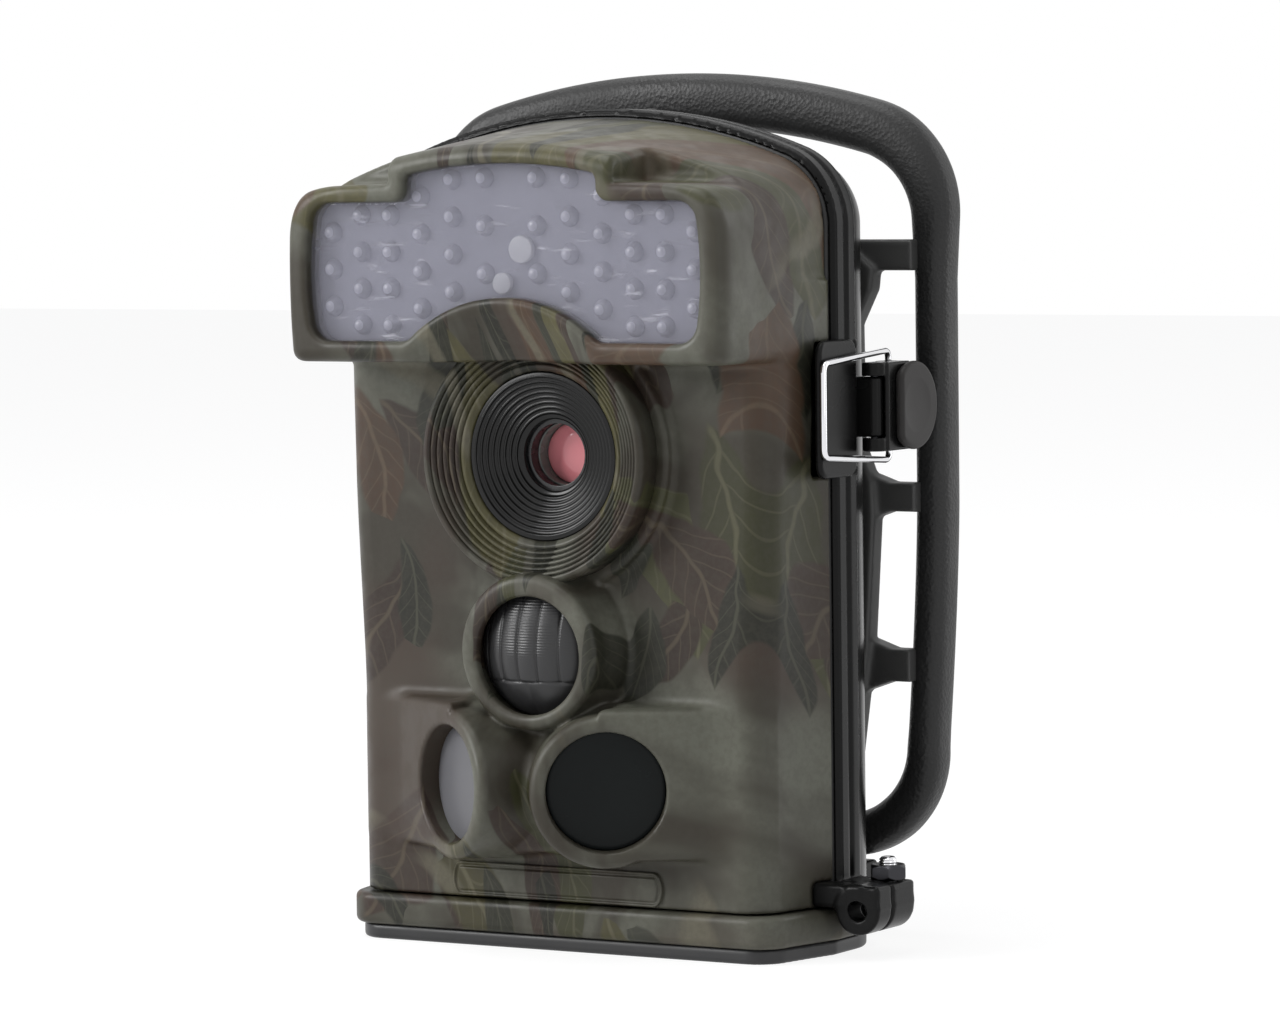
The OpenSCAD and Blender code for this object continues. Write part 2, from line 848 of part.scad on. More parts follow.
module inner_panel() {
    color("#1f2022")
    difference() {
        along_y(panel_front, panel_back) arch(39.6, 134.4, shell_bottom + wall + 0.4, 10, 96);
        along_y(panel_front - 1, panel_back + 1)
            translate([0, lcd_z]) square(2 * lcd_half, center = true);
        for (k = key_spots)
            bar_y(k[0], k[1], key_r + gap, panel_front - 1, panel_back + 1);
        block([switch_mid[0] - 7, panel_front - 1, switch_mid[1] - 1.8],
              [switch_mid[0] + 7, panel_back + 1, switch_mid[1] + 1.8]);
        block([-38.5, panel_front - 1, card_z - 13.6], [19, panel_back + 1, card_z + 13.6]);
        block([jack_x - 4.9, panel_front - 1, 41.1], [jack_x + 4.9, panel_back + 1, 46.9]);
        bar_y(jack_x, 34, 3.8, panel_front - 1, panel_back + 1);
        bar_y(jack_x, 24, 4.4, panel_front - 1, panel_back + 1);
        for (s = panel_spots)
            bar_y(s[0], s[1], 1.2, panel_front - 1, panel_back + 1);
    }
}

module door_screws() {
    color("#8c8d8f") {
        for (s = panel_spots)
            panel_screw(s, panel_back, -6.6);
        for (s = board_spots)
            panel_screw(s, board_back, -10);
    }
}

module panel_screw(spot, seat, tip) {
    difference() {
        union() {
            bar_y(spot[0], spot[1], 2.1, seat, seat + 0.7);
            bar_y(spot[0], spot[1], 1.2, tip, seat);
        }
        cross_slot(spot[0], spot[1], 1.3, seat + 0.3, seat + 1);
    }
}

module lcd_screen() {
    color("#16181d")
    block([-22.5, board_back + 0.2, lcd_z - 17.5], [22.5, panel_front, lcd_z + 17.5]);
}

module sd_slot() {
    color("#a9abad")
    difference() {
        block([-37.5, board_back, card_z - 13], [-8, -1.7, card_z + 13]);
        block([-37.2, -4.35, card_z - 12.3], [-7, -1.95, card_z + 12.3]);
    }
}

module usb_socket() {
    color("#a9abad")
    difference() {
        block([jack_x - 4.6, board_back, 41.4], [jack_x + 4.6, panel_back, 46.6]);
        block([jack_x - 4, -4, 42], [jack_x + 4, 0, 46]);
    }
}

module av_jack() {
    color("#101012")
    difference() {
        bar_y(jack_x, 34, 3.5, board_back, panel_back + 0.3);
        bar_y(jack_x, 34, 1.8, -4, 1);
    }
}

module dc_jack() {
    color("#101012")
    union() {
        difference() {
            bar_y(jack_x, 24, 4.1, board_back, panel_back + 0.3);
            bar_y(jack_x, 24, 2.8, -4, 1);
        }
        bar_y(jack_x, 24, 1, -4.1, panel_back);
    }
}

module contact_pads() {
    color("#c8a24a")
    for (x = [-4, 4])
        bar_y(x, 122, 2, panel_back, panel_back + 0.15);
}

// ---------- door hinge, catch and lock lug ----------

module door_hinge() {
    color("#202123")
    difference() {
        for (z = hinge_z)
            translate([0, 0, z - knuckle_h / 2]) {
                bar_z(hinge_x, hinge_y, knuckle_r, 0, knuckle_h);
                block([leaf_side, leaf_front, 0], [-45.3, hinge_y, knuckle_h]);
                block([leaf_side, leaf_front, 0], [leaf_root, -0.6, knuckle_h]);
            }
        for (z = hinge_z)
            bar_z(hinge_x, hinge_y, hinge_pin_r + 0.06, z - 10, z + 10);
    }
}

module catch_plate() {
    color("#121315")
    block([40.4, catch_root, latch_z - 11], [45.2, -0.5, latch_z + 11]);
    along_x(45.1, 45.9) round_rect_zy(latch_z - 11.4, latch_z + 11.4, -7, 5.8, 2.6);
}

module round_rect_zy(z_low, z_high, y_low, y_high, r) {
    translate([(y_low + y_high) / 2, 0])
        round_rect((y_high - y_low) / 2, z_low, z_high, r);
}

module front_lock_lug() {
    color("#1a1b1d")
    difference() {
        union() {
            bar_y(lug_x, lug_z, lug_r, -5.1, door_back);
            block([lug_x, -5.1, lug_z], [lug_x + lug_r, door_back, lug_top]);
            block([42, -5.1, shell_bottom + 0.2], [lug_x, door_back, lug_top]);
        }
        bar_y(lug_x, lug_z, lock_r, -6, 1);
    }
}

// ---------- keys, switch and card ----------

module key(spot) {
    bar_y(spot[0], spot[1], key_r, -3.6, 0.2);
    bar_y(spot[0], spot[1], key_r + 0.9, -3.6, panel_front - 0.3);
}

module key_up() {
    color("#3d3f42") key(key_spots[0]);
}

module key_down() {
    color("#3d3f42") key(key_spots[1]);
}

module key_left() {
    color("#3d3f42") key(key_spots[2]);
}

module key_right() {
    color("#3d3f42") key(key_spots[3]);
}

module key_ok() {
    color("#5a5d61") key(key_spots[4]);
}

module key_menu() {
    color("#5a5d61") key(key_spots[5]);
}

module power_switch() {
    color("#cfcfca")
    translate([switch_mid[0], 0, switch_mid[1]]) {
        block([-2, panel_front - 1, -1.5], [2, 0.4, 1.5]);
        block([-4, panel_front - 1.4, -3], [4, panel_front - 0.3, 3]);
    }
}

module sd_card() {
    color("#1c3f7a") block([-36, -4.2, card_z - 12], [-4, -2.1, card_z + 12]);
}

// ---------- draw latch ----------

module latch_lever() {
    color("#151618")
    difference() {
        translate([0, 0, latch_z - latch_half])
            linear_extrude(2 * latch_half) lever_profile();
        // room for the fixed lug between the cheeks
        block([40, 0, latch_z - 5.3], [lever_x + 1.8, 12.4, latch_z + 5.3]);
        block([40, 0, latch_z - 5.3], [lever_x + 3, lever_y, latch_z + 5.3]);
        bar_z(lever_x, lever_y, lever_pin_r + 0.06, latch_z - 9, latch_z + 9);
        for (z = [latch_z - latch_half - 1, latch_z + latch_half - 2.2])
            bar_z(bail_x, bail_y, wire_r + 0.06, z, z + 3.2);
    }
}

module lever_profile() {
    translate([lever_x, lever_y]) circle(2.1);
    translate([lever_x - 1.9, lever_y]) square([4.4, 6]);
    translate([bail_x, bail_y]) circle(1.9);
    translate([bail_x - 1.9, 12.4]) square([lever_x + 2.5 - bail_x + 1.9, 2.2]);
    translate([bail_x, bail_y]) square([lever_x + 2.5 - bail_x, 1.9]);
}

module thumb_tab() {
    color("#55565a")
    along_x(lever_x + 2.5, lever_x + 4.1)
        difference() {
            translate([15.6, latch_z]) circle(7.4);
            translate([0, latch_z - 10]) square([10.4, 20]);
        }
}

module wire_bail() {
    reach = norm([bail_x - bail_front_x, bail_y - bail_front_y]);
    color("#d6d8da") {
        bar_z(bail_front_x, bail_front_y, wire_r, latch_z - bail_half - 0.4, latch_z + bail_half + 0.4);
        for (side = [-1, 1]) {
            z = latch_z + side * bail_half;
            translate([bail_front_x, bail_front_y, z])
                rotate([-90, 0, -atan2(bail_x - bail_front_x, bail_y - bail_front_y)])
                    cylinder(r = wire_r + 0.02, h = reach + 0.4);
            bar_z(bail_x, bail_y, wire_r, min(z, z - side * 3), max(z, z - side * 3));
        }
    }
}

rear_housing();
housing_gasket();
foot_cap();
base_plate();
tripod_insert();
base_screws();
battery_tray();
batteries();
battery_springs();
contact_pins();
hinge_pins();
lever_pin();
tether_stud();
tether_nut();
bracket_hoop();
bracket_plate();
bracket_screws();
front_shell();
name_plate();
lens_ring();
lens_bezel();
lens_barrel();
lens_glass();
image_sensor();
led_window();
led_board();
ir_leds();
light_sensor();
status_light();
pir_lens();
pir_sensor();
side_window_left();
side_window_right();
side_sensors();
sensor_wedges();
main_board();
inner_panel();
door_screws();
lcd_screen();
sd_slot();
usb_socket();
av_jack();
dc_jack();
contact_pads();
door_hinge();
catch_plate();
front_lock_lug();
key_up();
key_down();
key_left();
key_right();
key_ok();
key_menu();
power_switch();
sd_card();
latch_lever();
thumb_tab();
wire_bail();
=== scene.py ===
"""Looks of a camouflaged trail camera.

Lengths are millimetres in the shape functions and become metres in make_mesh.
The moulded shells are signed distance fields, meshed by surface nets and
pulled onto the true surface. Turned parts are lathe profiles.
"""

import itertools
import json
import math

import bmesh
import bpy
import numpy as np
from mathutils import Matrix, Vector


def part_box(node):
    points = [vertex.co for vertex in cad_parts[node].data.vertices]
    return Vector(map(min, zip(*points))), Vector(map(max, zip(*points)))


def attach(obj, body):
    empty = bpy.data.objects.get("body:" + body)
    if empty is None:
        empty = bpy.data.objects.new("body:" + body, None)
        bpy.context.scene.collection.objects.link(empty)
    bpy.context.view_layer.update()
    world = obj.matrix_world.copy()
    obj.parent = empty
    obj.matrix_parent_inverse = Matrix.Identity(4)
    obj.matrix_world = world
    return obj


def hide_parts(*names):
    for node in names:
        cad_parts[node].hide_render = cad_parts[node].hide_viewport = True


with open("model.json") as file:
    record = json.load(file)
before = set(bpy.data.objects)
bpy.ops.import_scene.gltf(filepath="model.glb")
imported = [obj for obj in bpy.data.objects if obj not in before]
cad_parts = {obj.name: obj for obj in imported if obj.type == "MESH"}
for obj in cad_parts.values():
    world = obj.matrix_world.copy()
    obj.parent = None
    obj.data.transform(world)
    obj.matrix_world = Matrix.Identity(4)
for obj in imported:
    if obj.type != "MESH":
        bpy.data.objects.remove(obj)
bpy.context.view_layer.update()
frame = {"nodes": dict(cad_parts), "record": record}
MM = 0.001
WELD = 1e-6
ON_AXIS = 1e-6


def node_box(node):
    """Lowest and highest corner of a CAD node, in millimetres."""
    low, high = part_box(node)
    return np.array(low) / MM, np.array(high) / MM


# ---------------------------------------------------------------- places

SHELL_LOW, SHELL_HIGH = node_box("front_shell")
HOUSING_LOW, HOUSING_HIGH = node_box("rear_housing")
RING_LOW, RING_HIGH = node_box("lens_ring")
PIR_LOW, PIR_HIGH = node_box("pir_lens")
SIDE_LOW, SIDE_HIGH = node_box("side_window_right")
CATCH_LOW, CATCH_HIGH = node_box("catch_plate")
LEVER_LOW, LEVER_HIGH = node_box("latch_lever")
LUG_LOW, LUG_HIGH = node_box("front_lock_lug")
HOOP_LOW, HOOP_HIGH = node_box("bracket_hoop")
PLATE_LOW, PLATE_HIGH = node_box("bracket_plate")
FOOT_LOW, FOOT_HIGH = node_box("foot_cap")
BASE_LOW, BASE_HIGH = node_box("base_plate")
TAB_LOW, TAB_HIGH = node_box("thumb_tab")

LENS_Z = (RING_LOW[2] + RING_HIGH[2]) / 2
PIR_Z = (PIR_LOW[2] + PIR_HIGH[2]) / 2
SIDE_Z = (SIDE_LOW[2] + SIDE_HIGH[2]) / 2
LATCH_Z = (LEVER_LOW[2] + LEVER_HIGH[2]) / 2
TAB_R = (TAB_HIGH[2] - TAB_LOW[2]) / 2
DOOR_BACK = SHELL_HIGH[1]
HOOD_FRONT = SHELL_LOW[1]
SHELL_BOTTOM = SHELL_LOW[2]
HOOD_BOTTOM = 99.3
BODY_FRONT, BODY_TOP = -16.6, 112
WALL = 2.2
RIM_TOP, RIM_HALF, RIM_FRONT, RIM_BACK = 141.0, 44.8, 0.4, 8.0
SEAL_ARCH = (42.8, 139.0, 12, 98)
POD_X, POD_Y, POD_TURN = 15.6, -26.6, math.radians(31)
BROW_R = 26.7
WINDOW_BACK = -28
POD_R, PANE_DEPTH = 12.7, 3.5
HINGE_X, HINGE_Y, HINGE_ZS = -47.1, 4.5, (28, 100)
KNUCKLE_R, KNUCKLE_HALF = 2, 4
LEVER_X, LEVER_Y = 47.9, 8.0
LEVER_HALF, ROOM_HALF = 7.4, 5.15
BAIL_X, BAIL_Y = 47.0, 14.6
BAIL_FRONT = (46.9, -7.9)
BAIL_HALF, BAIL_SPREAD = 7.7, 1.5
WIRE_R = 0.55
LUG_X, LUG_Z, LUG_R, LOCK_R = 50.6, 8.3, 4.06, 1.7
STUD_X, STUD_Y = 51.4, 4.6
HOOP_Y = (HOOP_LOW[1] + HOOP_HIGH[1]) / 2
# x, lowest z, count and spacing of each column of diodes
LED_COLUMNS = ((5, 114, 3, 7.9), (11.3, 111, 4, 6.2), (17.5, 108.2, 4, 6.2),
               (23.5, 105.4, 4, 6.1), (29.3, 105.4, 4, 6.1), (35, 108.5, 3, 6.2))


# ---------------------------------------------------------------- distance fields

def cut_round(a, b, r):
    """Intersection of two fields with the outer edge rounded to r."""
    return (np.minimum(-r, np.maximum(a, b))
            + np.hypot(np.maximum(a + r, 0), np.maximum(b + r, 0)))


def join_round(a, b, r):
    """Union of two fields with a fillet of r."""
    return (np.maximum(r, np.minimum(a, b))
            - np.hypot(np.maximum(r - a, 0), np.maximum(r - b, 0)))


def slab(v, low, high):
    """Distance outside the range from low to high, negative inside."""
    return np.abs(v - (low + high) / 2) - (high - low) / 2


def box(x, y, z, low, high, r=0.0):
    """Box between two corners, edges rounded to r."""
    qx = slab(x, low[0], high[0]) + r
    qy = slab(y, low[1], high[1]) + r
    qz = slab(z, low[2], high[2]) + r
    outside = np.sqrt(np.maximum(qx, 0) ** 2 + np.maximum(qy, 0) ** 2 + np.maximum(qz, 0) ** 2)
    return outside + np.minimum(np.maximum(qx, np.maximum(qy, qz)), 0) - r


def arch(x, z, half, top, corner=14.0, crown=100.0):
    """Outline with a crowned top, round upper corners and straight sides."""
    ax = np.abs(x)
    crown_z = top - crown
    corner_x = half - corner
    rise = np.sqrt((crown - corner) ** 2 - corner_x ** 2)
    up = z - crown_z
    in_crown = ax * rise < corner_x * up
    in_corner = up > rise
    return np.where(in_crown, np.hypot(ax, up) - crown,
                    np.where(in_corner, np.hypot(ax - corner_x, up - rise) - corner, ax - half))


def smooth_step(v, low, high):
    """Rises smoothly from 0 at low to 1 at high."""
    t = np.clip((v - low) / (high - low), 0, 1)
    return t * t * (3 - 2 * t)


# ---------------------------------------------------------------- meshing

def surface_nets(field, origin, step):
    """Quads over the zero level of a field sampled on a grid."""
    inside = field < 0
    nx, ny, nz = (n - 1 for n in inside.shape)
    count = sum(inside[i:i + nx, j:j + ny, k:k + nz].astype(np.int8)
                for i, j, k in itertools.product((0, 1), repeat=3))
    active = (count > 0) & (count < 8)
    cells = np.argwhere(active)
    index = np.full(active.shape, -1, np.int64)
    index[active] = np.arange(len(cells))
    total = np.zeros((len(cells), 3))
    hits = np.zeros(len(cells))
    for axis, i, j in itertools.product(range(3), (0, 1), (0, 1)):
        start = cells.copy()
        start[:, (axis + 1) % 3] += i
        start[:, (axis + 2) % 3] += j
        end = start.copy()
        end[:, axis] += 1
        f0, f1 = field[tuple(start.T)], field[tuple(end.T)]
        crosses = (f0 < 0) != (f1 < 0)
        point = start.astype(float)
        point[:, axis] += np.where(crosses, f0 / np.where(crosses, f0 - f1, 1), 0)
        total[crosses] += point[crosses]
        hits[crosses] += 1
    verts = total / hits[:, None] * step + origin
    quads = []
    for axis in range(3):
        b, c = (axis + 1) % 3, (axis + 2) % 3
        first = np.take(inside, range(inside.shape[axis] - 1), axis)
        second = np.take(inside, range(1, inside.shape[axis]), axis)
        edges = np.argwhere(first != second)
        keep = ((edges[:, b] > 0) & (edges[:, b] < inside.shape[b] - 1)
                & (edges[:, c] > 0) & (edges[:, c] < inside.shape[c] - 1))
        edges = edges[keep]
        ring = []
        for i, j in ((0, 0), (-1, 0), (-1, -1), (0, -1)):
            cell = edges.copy()
            cell[:, b] += i
            cell[:, c] += j
            ring.append(index[tuple(cell.T)])
        quad = np.stack(ring, 1)
        inward = ~first[tuple(edges.T)]
        quad[inward] = quad[inward][:, ::-1]
        quads.append(quad)
    return verts, np.concatenate(quads)


def settle(verts, field, step, rounds=3):
    """Moves points along the gradient onto the zero level."""
    h = 0.04
    for _ in range(rounds):
        x, y, z = verts.T
        value = field(x, y, z)
        slope = np.stack([field(x + h, y, z) - field(x - h, y, z),
                          field(x, y + h, z) - field(x, y - h, z),
                          field(x, y, z + h) - field(x, y, z - h)], 1) / (2 * h)
        length2 = np.maximum((slope ** 2).sum(1), 0.05)
        move = slope * (value / length2)[:, None]
        size = np.linalg.norm(move, axis=1)
        move *= np.minimum(1, 0.6 * step / np.maximum(size, 1e-9))[:, None]
        verts = verts - move
    return verts


def make_mesh(name, verts, faces):
    """Smooth object from millimetre points."""
    mesh = bpy.data.meshes.new(name)
    mesh.from_pydata((np.asarray(verts) * MM).tolist(), [],
                     faces.tolist() if isinstance(faces, np.ndarray) else faces)
    mesh.validate()
    mesh.shade_smooth()
    piece = bpy.data.objects.new(name, mesh)
    bpy.context.scene.collection.objects.link(piece)
    return piece


def weld(piece):
    """Merges points that coincide and turns the faces outward."""
    work = bmesh.new()
    work.from_mesh(piece.data)
    bmesh.ops.remove_doubles(work, verts=work.verts, dist=WELD)
    bmesh.ops.recalc_face_normals(work, faces=work.faces)
    work.to_mesh(piece.data)
    work.free()
    piece.data.shade_smooth()
    return piece


def solid(name, field, low, high, step):
    """Meshes a distance field inside a box."""
    low = np.array(low, float) - 2 * step
    high = np.array(high, float) + 2 * step
    axes = [np.arange(low[i], high[i] + step, step) for i in range(3)]
    x, y, z = np.meshgrid(*axes, indexing="ij", sparse=True)
    values = np.broadcast_to(field(x, y, z), tuple(len(a) for a in axes))
    verts, quads = surface_nets(np.ascontiguousarray(values), low, step)
    return make_mesh(name, settle(verts, field, step), quads)


def neighbours(count):
    """Each place on a ring with the next one."""
    return [(i, (i + 1) % count) for i in range(count)]


def strips(pairs, sides, start=0):
    """Quads between pairs of rings that have the given number of sides."""
    return [(start + a * sides + k, start + a * sides + m, start + b * sides + m, start + b * sides + k)
            for a, b in pairs for k, m in neighbours(sides)]


def circle(sides):
    """Angles round a ring."""
    return [2 * math.pi * k / sides for k in range(sides)]


def lathe(name, profile, centre=(0, 0, 0), turn=0.0, segments=128):
    """Turns (radius, y) points about the Y axis; turn swings the axis about Z."""
    profile = np.array(profile, float)
    angles = np.array(circle(segments))
    r, y = profile[:, :1], profile[:, 1:] + 0 * angles
    x, z = r * np.cos(angles), r * np.sin(angles)
    c, s = math.cos(turn), math.sin(turn)
    points = np.stack([x * c - y * s, x * s + y * c, z], 2) + np.array(centre)
    pairs = [pair for pair in neighbours(len(profile)) if profile[list(pair), 0].max() >= ON_AXIS]
    return weld(make_mesh(name, points.reshape(-1, 3), strips(pairs, segments)))


def bend_points(start, corner, end, steps):
    """Points of a curve from start to end that is pulled towards the corner."""
    return [(1 - t) ** 2 * start + 2 * t * (1 - t) * corner + t * t * end
            for t in (k / steps for k in range(steps + 1))]


def rounded(profile, r):
    """Closed lathe profile with its corners rounded to r."""
    points = np.array(profile, float)
    out = []
    for i, here in enumerate(points):
        to_before, to_after = points[i - 1] - here, points[(i + 1) % len(points)] - here
        before, after = np.linalg.norm(to_before), np.linalg.norm(to_after)
        if min(here[0], before, after) < ON_AXIS:
            out.append(here)
            continue
        cut = min(r, before * 0.45, after * 0.45)
        out += bend_points(here + to_before / before * cut, here, here + to_after / after * cut, 4)
    return out


def sweep(name, path, radius, sides):
    """Round tube along an open path."""
    verts, normal = [], None
    last = len(path) - 1
    for i, here in enumerate(path):
        along = (path[min(i + 1, last)] - path[max(i - 1, 0)]).normalized()
        if normal is None:
            normal = along.orthogonal().normalized()
        normal = (normal - along * normal.dot(along)).normalized()
        other = along.cross(normal)
        verts += [tuple(here + normal * (radius * math.cos(a)) + other * (radius * math.sin(a)))
                  for a in circle(sides)]
    faces = strips(neighbours(len(path))[:-1], sides)
    faces += [tuple(range(sides))[::-1], tuple(range(last * sides, (last + 1) * sides))]
    return weld(make_mesh(name, verts, faces))


# ---------------------------------------------------------------- materials

class Tree:
    """Short hand for building a node tree."""

    def __init__(self, tree):
        self.nodes = tree.nodes
        self.links = tree.links

    def join(self, value, socket):
        """Links an output to a socket or sets its value; None leaves it alone."""
        if hasattr(value, "links"):
            self.links.new(value, socket)
        elif value is not None:
            socket.default_value = value

    def fill(self, node, **sockets):
        """Joins sockets by name; an underscore stands for a space."""
        for key, value in sockets.items():
            self.join(value, node.inputs[key.replace("_", " ")])
        return node

    def put(self, kind, *values, **settings):
        """New node whose active sockets are joined in order."""
        made = self.nodes.new("ShaderNode" + kind)
        for key, value in settings.items():
            setattr(made, key, value)
        for value, socket in zip(values, [s for s in made.inputs if s.enabled]):
            self.join(value, socket)
        return made

    def math(self, operation, *values):
        return self.put("Math", *values, operation=operation).outputs[0]

    def vector(self, operation, *values):
        return self.put("VectorMath", *values, operation=operation).outputs[0]


class Paint(Tree):
    """Material round a principled shader, patterned in the object's space."""

    def __init__(self, name, color, rough, specular=0.5, metallic=0.0):
        self.material = bpy.data.materials.new(name)
        self.material.use_nodes = True
        super().__init__(self.material.node_tree)
        self.shader = self.nodes["Principled BSDF"]
        self.feed(Base_Color=(*color, 1), Roughness=rough, Specular_IOR_Level=specular, Metallic=metallic)
        self.place = self.put("TexCoord").outputs["Object"]

    def feed(self, **sockets):
        self.fill(self.shader, **sockets)

    def noise(self, scale, detail=3.0, rough=0.5, vector=None, kind="Fac"):
        made = self.fill(self.put("TexNoise"), Vector=vector or self.place, Scale=scale, Detail=detail,
                         Roughness=rough)
        return made.outputs[kind]

    def remap(self, value, low, high, to_low=0.0, to_high=1.0, kind="SMOOTHSTEP"):
        return self.put("MapRange", value, low, high, to_low, to_high, interpolation_type=kind).outputs[0]

    def mix(self, factor, *colors):
        colors = [(*c, 1) if isinstance(c, tuple) else c for c in colors]
        made = self.put("Mix", factor, *colors, data_type="RGBA")
        return next(o for o in made.outputs if o.enabled)

    def bump(self, height, strength, distance):
        return self.fill(self.put("Bump"), Strength=strength, Distance=distance, Height=height).outputs[0]


def tinted(color, share):
    """The colour made darker or lighter."""
    return tuple(min(1, c * share) for c in color)


def moulded(name, color, rough, grain=1400, strength=0.12, spread=0.06, specular=0.5):
    """Plain moulded or painted surface with a fine grain and uneven gloss."""
    paint = Paint(name, color, rough, specular)
    cloud = paint.noise(70, 4)
    paint.feed(Base_Color=paint.mix(cloud, tinted(color, 0.86), tinted(color, 1.14)),
               Roughness=paint.remap(cloud, 0.3, 0.7, rough - spread, rough + spread),
               Normal=paint.bump(paint.noise(grain, 2), strength, 0.00005))
    return paint.material


def metal(name, color, rough, brushed=0.02):
    """Metal with fine streaks in its gloss."""
    paint = Paint(name, color, rough, metallic=1.0)
    streak = paint.noise(900, 4, 0.6)
    paint.feed(Roughness=paint.remap(streak, 0.3, 0.7, max(0.03, rough - brushed), rough + brushed),
               Base_Color=paint.mix(paint.noise(300, 3), tinted(color, 0.9), color))
    return paint.material


def leaves(paint, vector, scale, keep, width, seed):
    """Leaf shapes scattered in the print's plane: mask, vein line and a random value."""
    shifted = paint.vector("ADD", vector, (seed * 0.37, seed * 0.11, 0))
    cells = paint.fill(paint.put("TexVoronoi", voronoi_dimensions="2D"), Vector=shifted, Scale=scale)
    local = paint.vector("SUBTRACT", paint.vector("SCALE", shifted, scale),
                         paint.vector("SCALE", cells.outputs["Position"], scale))
    turn, size, choice = paint.put("SeparateXYZ", cells.outputs["Color"]).outputs
    turn = paint.math("MULTIPLY_ADD", turn, 1.5, 0.8)
    spun = paint.fill(paint.put("VectorRotate", rotation_type="Z_AXIS"), Vector=local, Angle=turn)
    along, aside = paint.put("SeparateXYZ", spun.outputs[0]).outputs[:2]
    bend = paint.math("MULTIPLY", along, along)
    across = paint.math("ABSOLUTE", paint.math("ADD", aside, paint.math("MULTIPLY", bend, 0.35)))
    # the leaf's half width falls to nothing at both ends
    taper = paint.math("SUBTRACT", 1.0, paint.math("MULTIPLY", bend, 4.2))
    extra = paint.math("MULTIPLY", paint.math("SUBTRACT", size, 0.3), 0.12)
    half = paint.math("MULTIPLY", taper, paint.math("ADD", extra, width))
    chosen = paint.remap(choice, 1 - keep, 1 - keep + 0.02)
    mask = paint.math("MULTIPLY", paint.remap(paint.math("SUBTRACT", half, across), 0.0, 0.03), chosen)
    rib = paint.remap(across, 0.004, 0.02, 1.0, 0.0)
    slant = paint.math("ADD", paint.math("MULTIPLY", along, 46.0), paint.math("MULTIPLY", across, -60.0))
    side = paint.remap(paint.math("SINE", slant), 0.86, 1.0, 0.0, 0.55)
    return mask, paint.math("MULTIPLY", paint.math("MAXIMUM", rib, side), mask), size


# scale, share of cells, half width, seed, leaf colour and vein colour of each layer
LEAF_LAYERS = (
    (28, 0.72, 0.22, 3, (0.044, 0.045, 0.019), (0.105, 0.100, 0.060)),
    (36, 0.70, 0.18, 8, (0.032, 0.020, 0.015), (0.095, 0.076, 0.050)),
    (22, 0.50, 0.24, 5, (0.072, 0.066, 0.029), (0.130, 0.120, 0.076)),
    (44, 0.60, 0.17, 12, (0.016, 0.017, 0.011), (0.066, 0.066, 0.045)),
    (31, 0.35, 0.17, 17, (0.062, 0.036, 0.022), (0.115, 0.085, 0.055)))


def print_plane(paint):
    """Plane that the print lies in: it wraps round the sides and follows the depth."""
    x, y, z = paint.put("SeparateXYZ", paint.place).outputs
    side = paint.put("Clamp", paint.math("MULTIPLY", x, 60.0), -1.0, 1.0).outputs[0]
    across = paint.math("SUBTRACT", x, paint.math("MULTIPLY", side, y))
    up = paint.math("ADD", z, paint.math("MULTIPLY", y, 0.45))
    return paint.put("CombineXYZ", across, up, 0.0).outputs[0]


def camouflage():
    """Water-transfer leaf print in olive, brown and grey-green."""
    paint = Paint("camo_print", (0.08, 0.075, 0.05), 0.42, 0.3)
    flat = print_plane(paint)
    drift = paint.vector("SUBTRACT", paint.noise(38, 3, vector=flat, kind="Color"), (0.5, 0.5, 0.5))
    spot = paint.vector("ADD", flat, paint.vector("SCALE", drift, 0.012))
    shade = paint.mix(paint.remap(paint.noise(24, 4, 0.6, spot), 0.40, 0.60),
                      (0.036, 0.031, 0.022), (0.112, 0.114, 0.090))
    shade = paint.mix(paint.remap(paint.noise(17, 2, 0.5, spot), 0.50, 0.62, 0, 0.85),
                      shade, (0.046, 0.030, 0.022))
    for scale, keep, width, seed, body, line in LEAF_LAYERS:
        mask, vein, tint = leaves(paint, spot, scale, keep, width, seed)
        tone = paint.mix(tint, tinted(body, 0.72), tinted(body, 1.35))
        grime = paint.remap(paint.noise(120, 3, 0.6, spot), 0.3, 0.7, 0, 0.5)
        tone = paint.mix(grime, tone, tinted(body, 0.6))
        shade = paint.mix(paint.math("MULTIPLY", mask, 0.93), shade, tone)
        shade = paint.mix(paint.math("MULTIPLY", vein, 0.6), shade, line)
    # long pale stems
    wave = paint.put("TexWave", wave_type="BANDS", bands_direction="DIAGONAL")
    paint.fill(wave, Vector=spot, Scale=9, Distortion=5, Detail=1)
    stem = paint.math("MULTIPLY", paint.remap(wave.outputs["Fac"], 0.975, 0.999, 0, 0.75),
                      paint.remap(paint.noise(30, 1, 0.5, flat), 0.5, 0.6))
    shade = paint.mix(stem, shade, (0.13, 0.12, 0.085))
    speck = paint.remap(paint.noise(900, 2, 0.6), 0.35, 0.7, 0, 0.25)
    paint.feed(Base_Color=paint.mix(speck, shade, (0.05, 0.045, 0.034)),
               Roughness=paint.remap(paint.noise(220, 3), 0.3, 0.7, 0.36, 0.5),
               Normal=paint.bump(paint.noise(1500, 2), 0.1, 0.00004))
    return paint.material


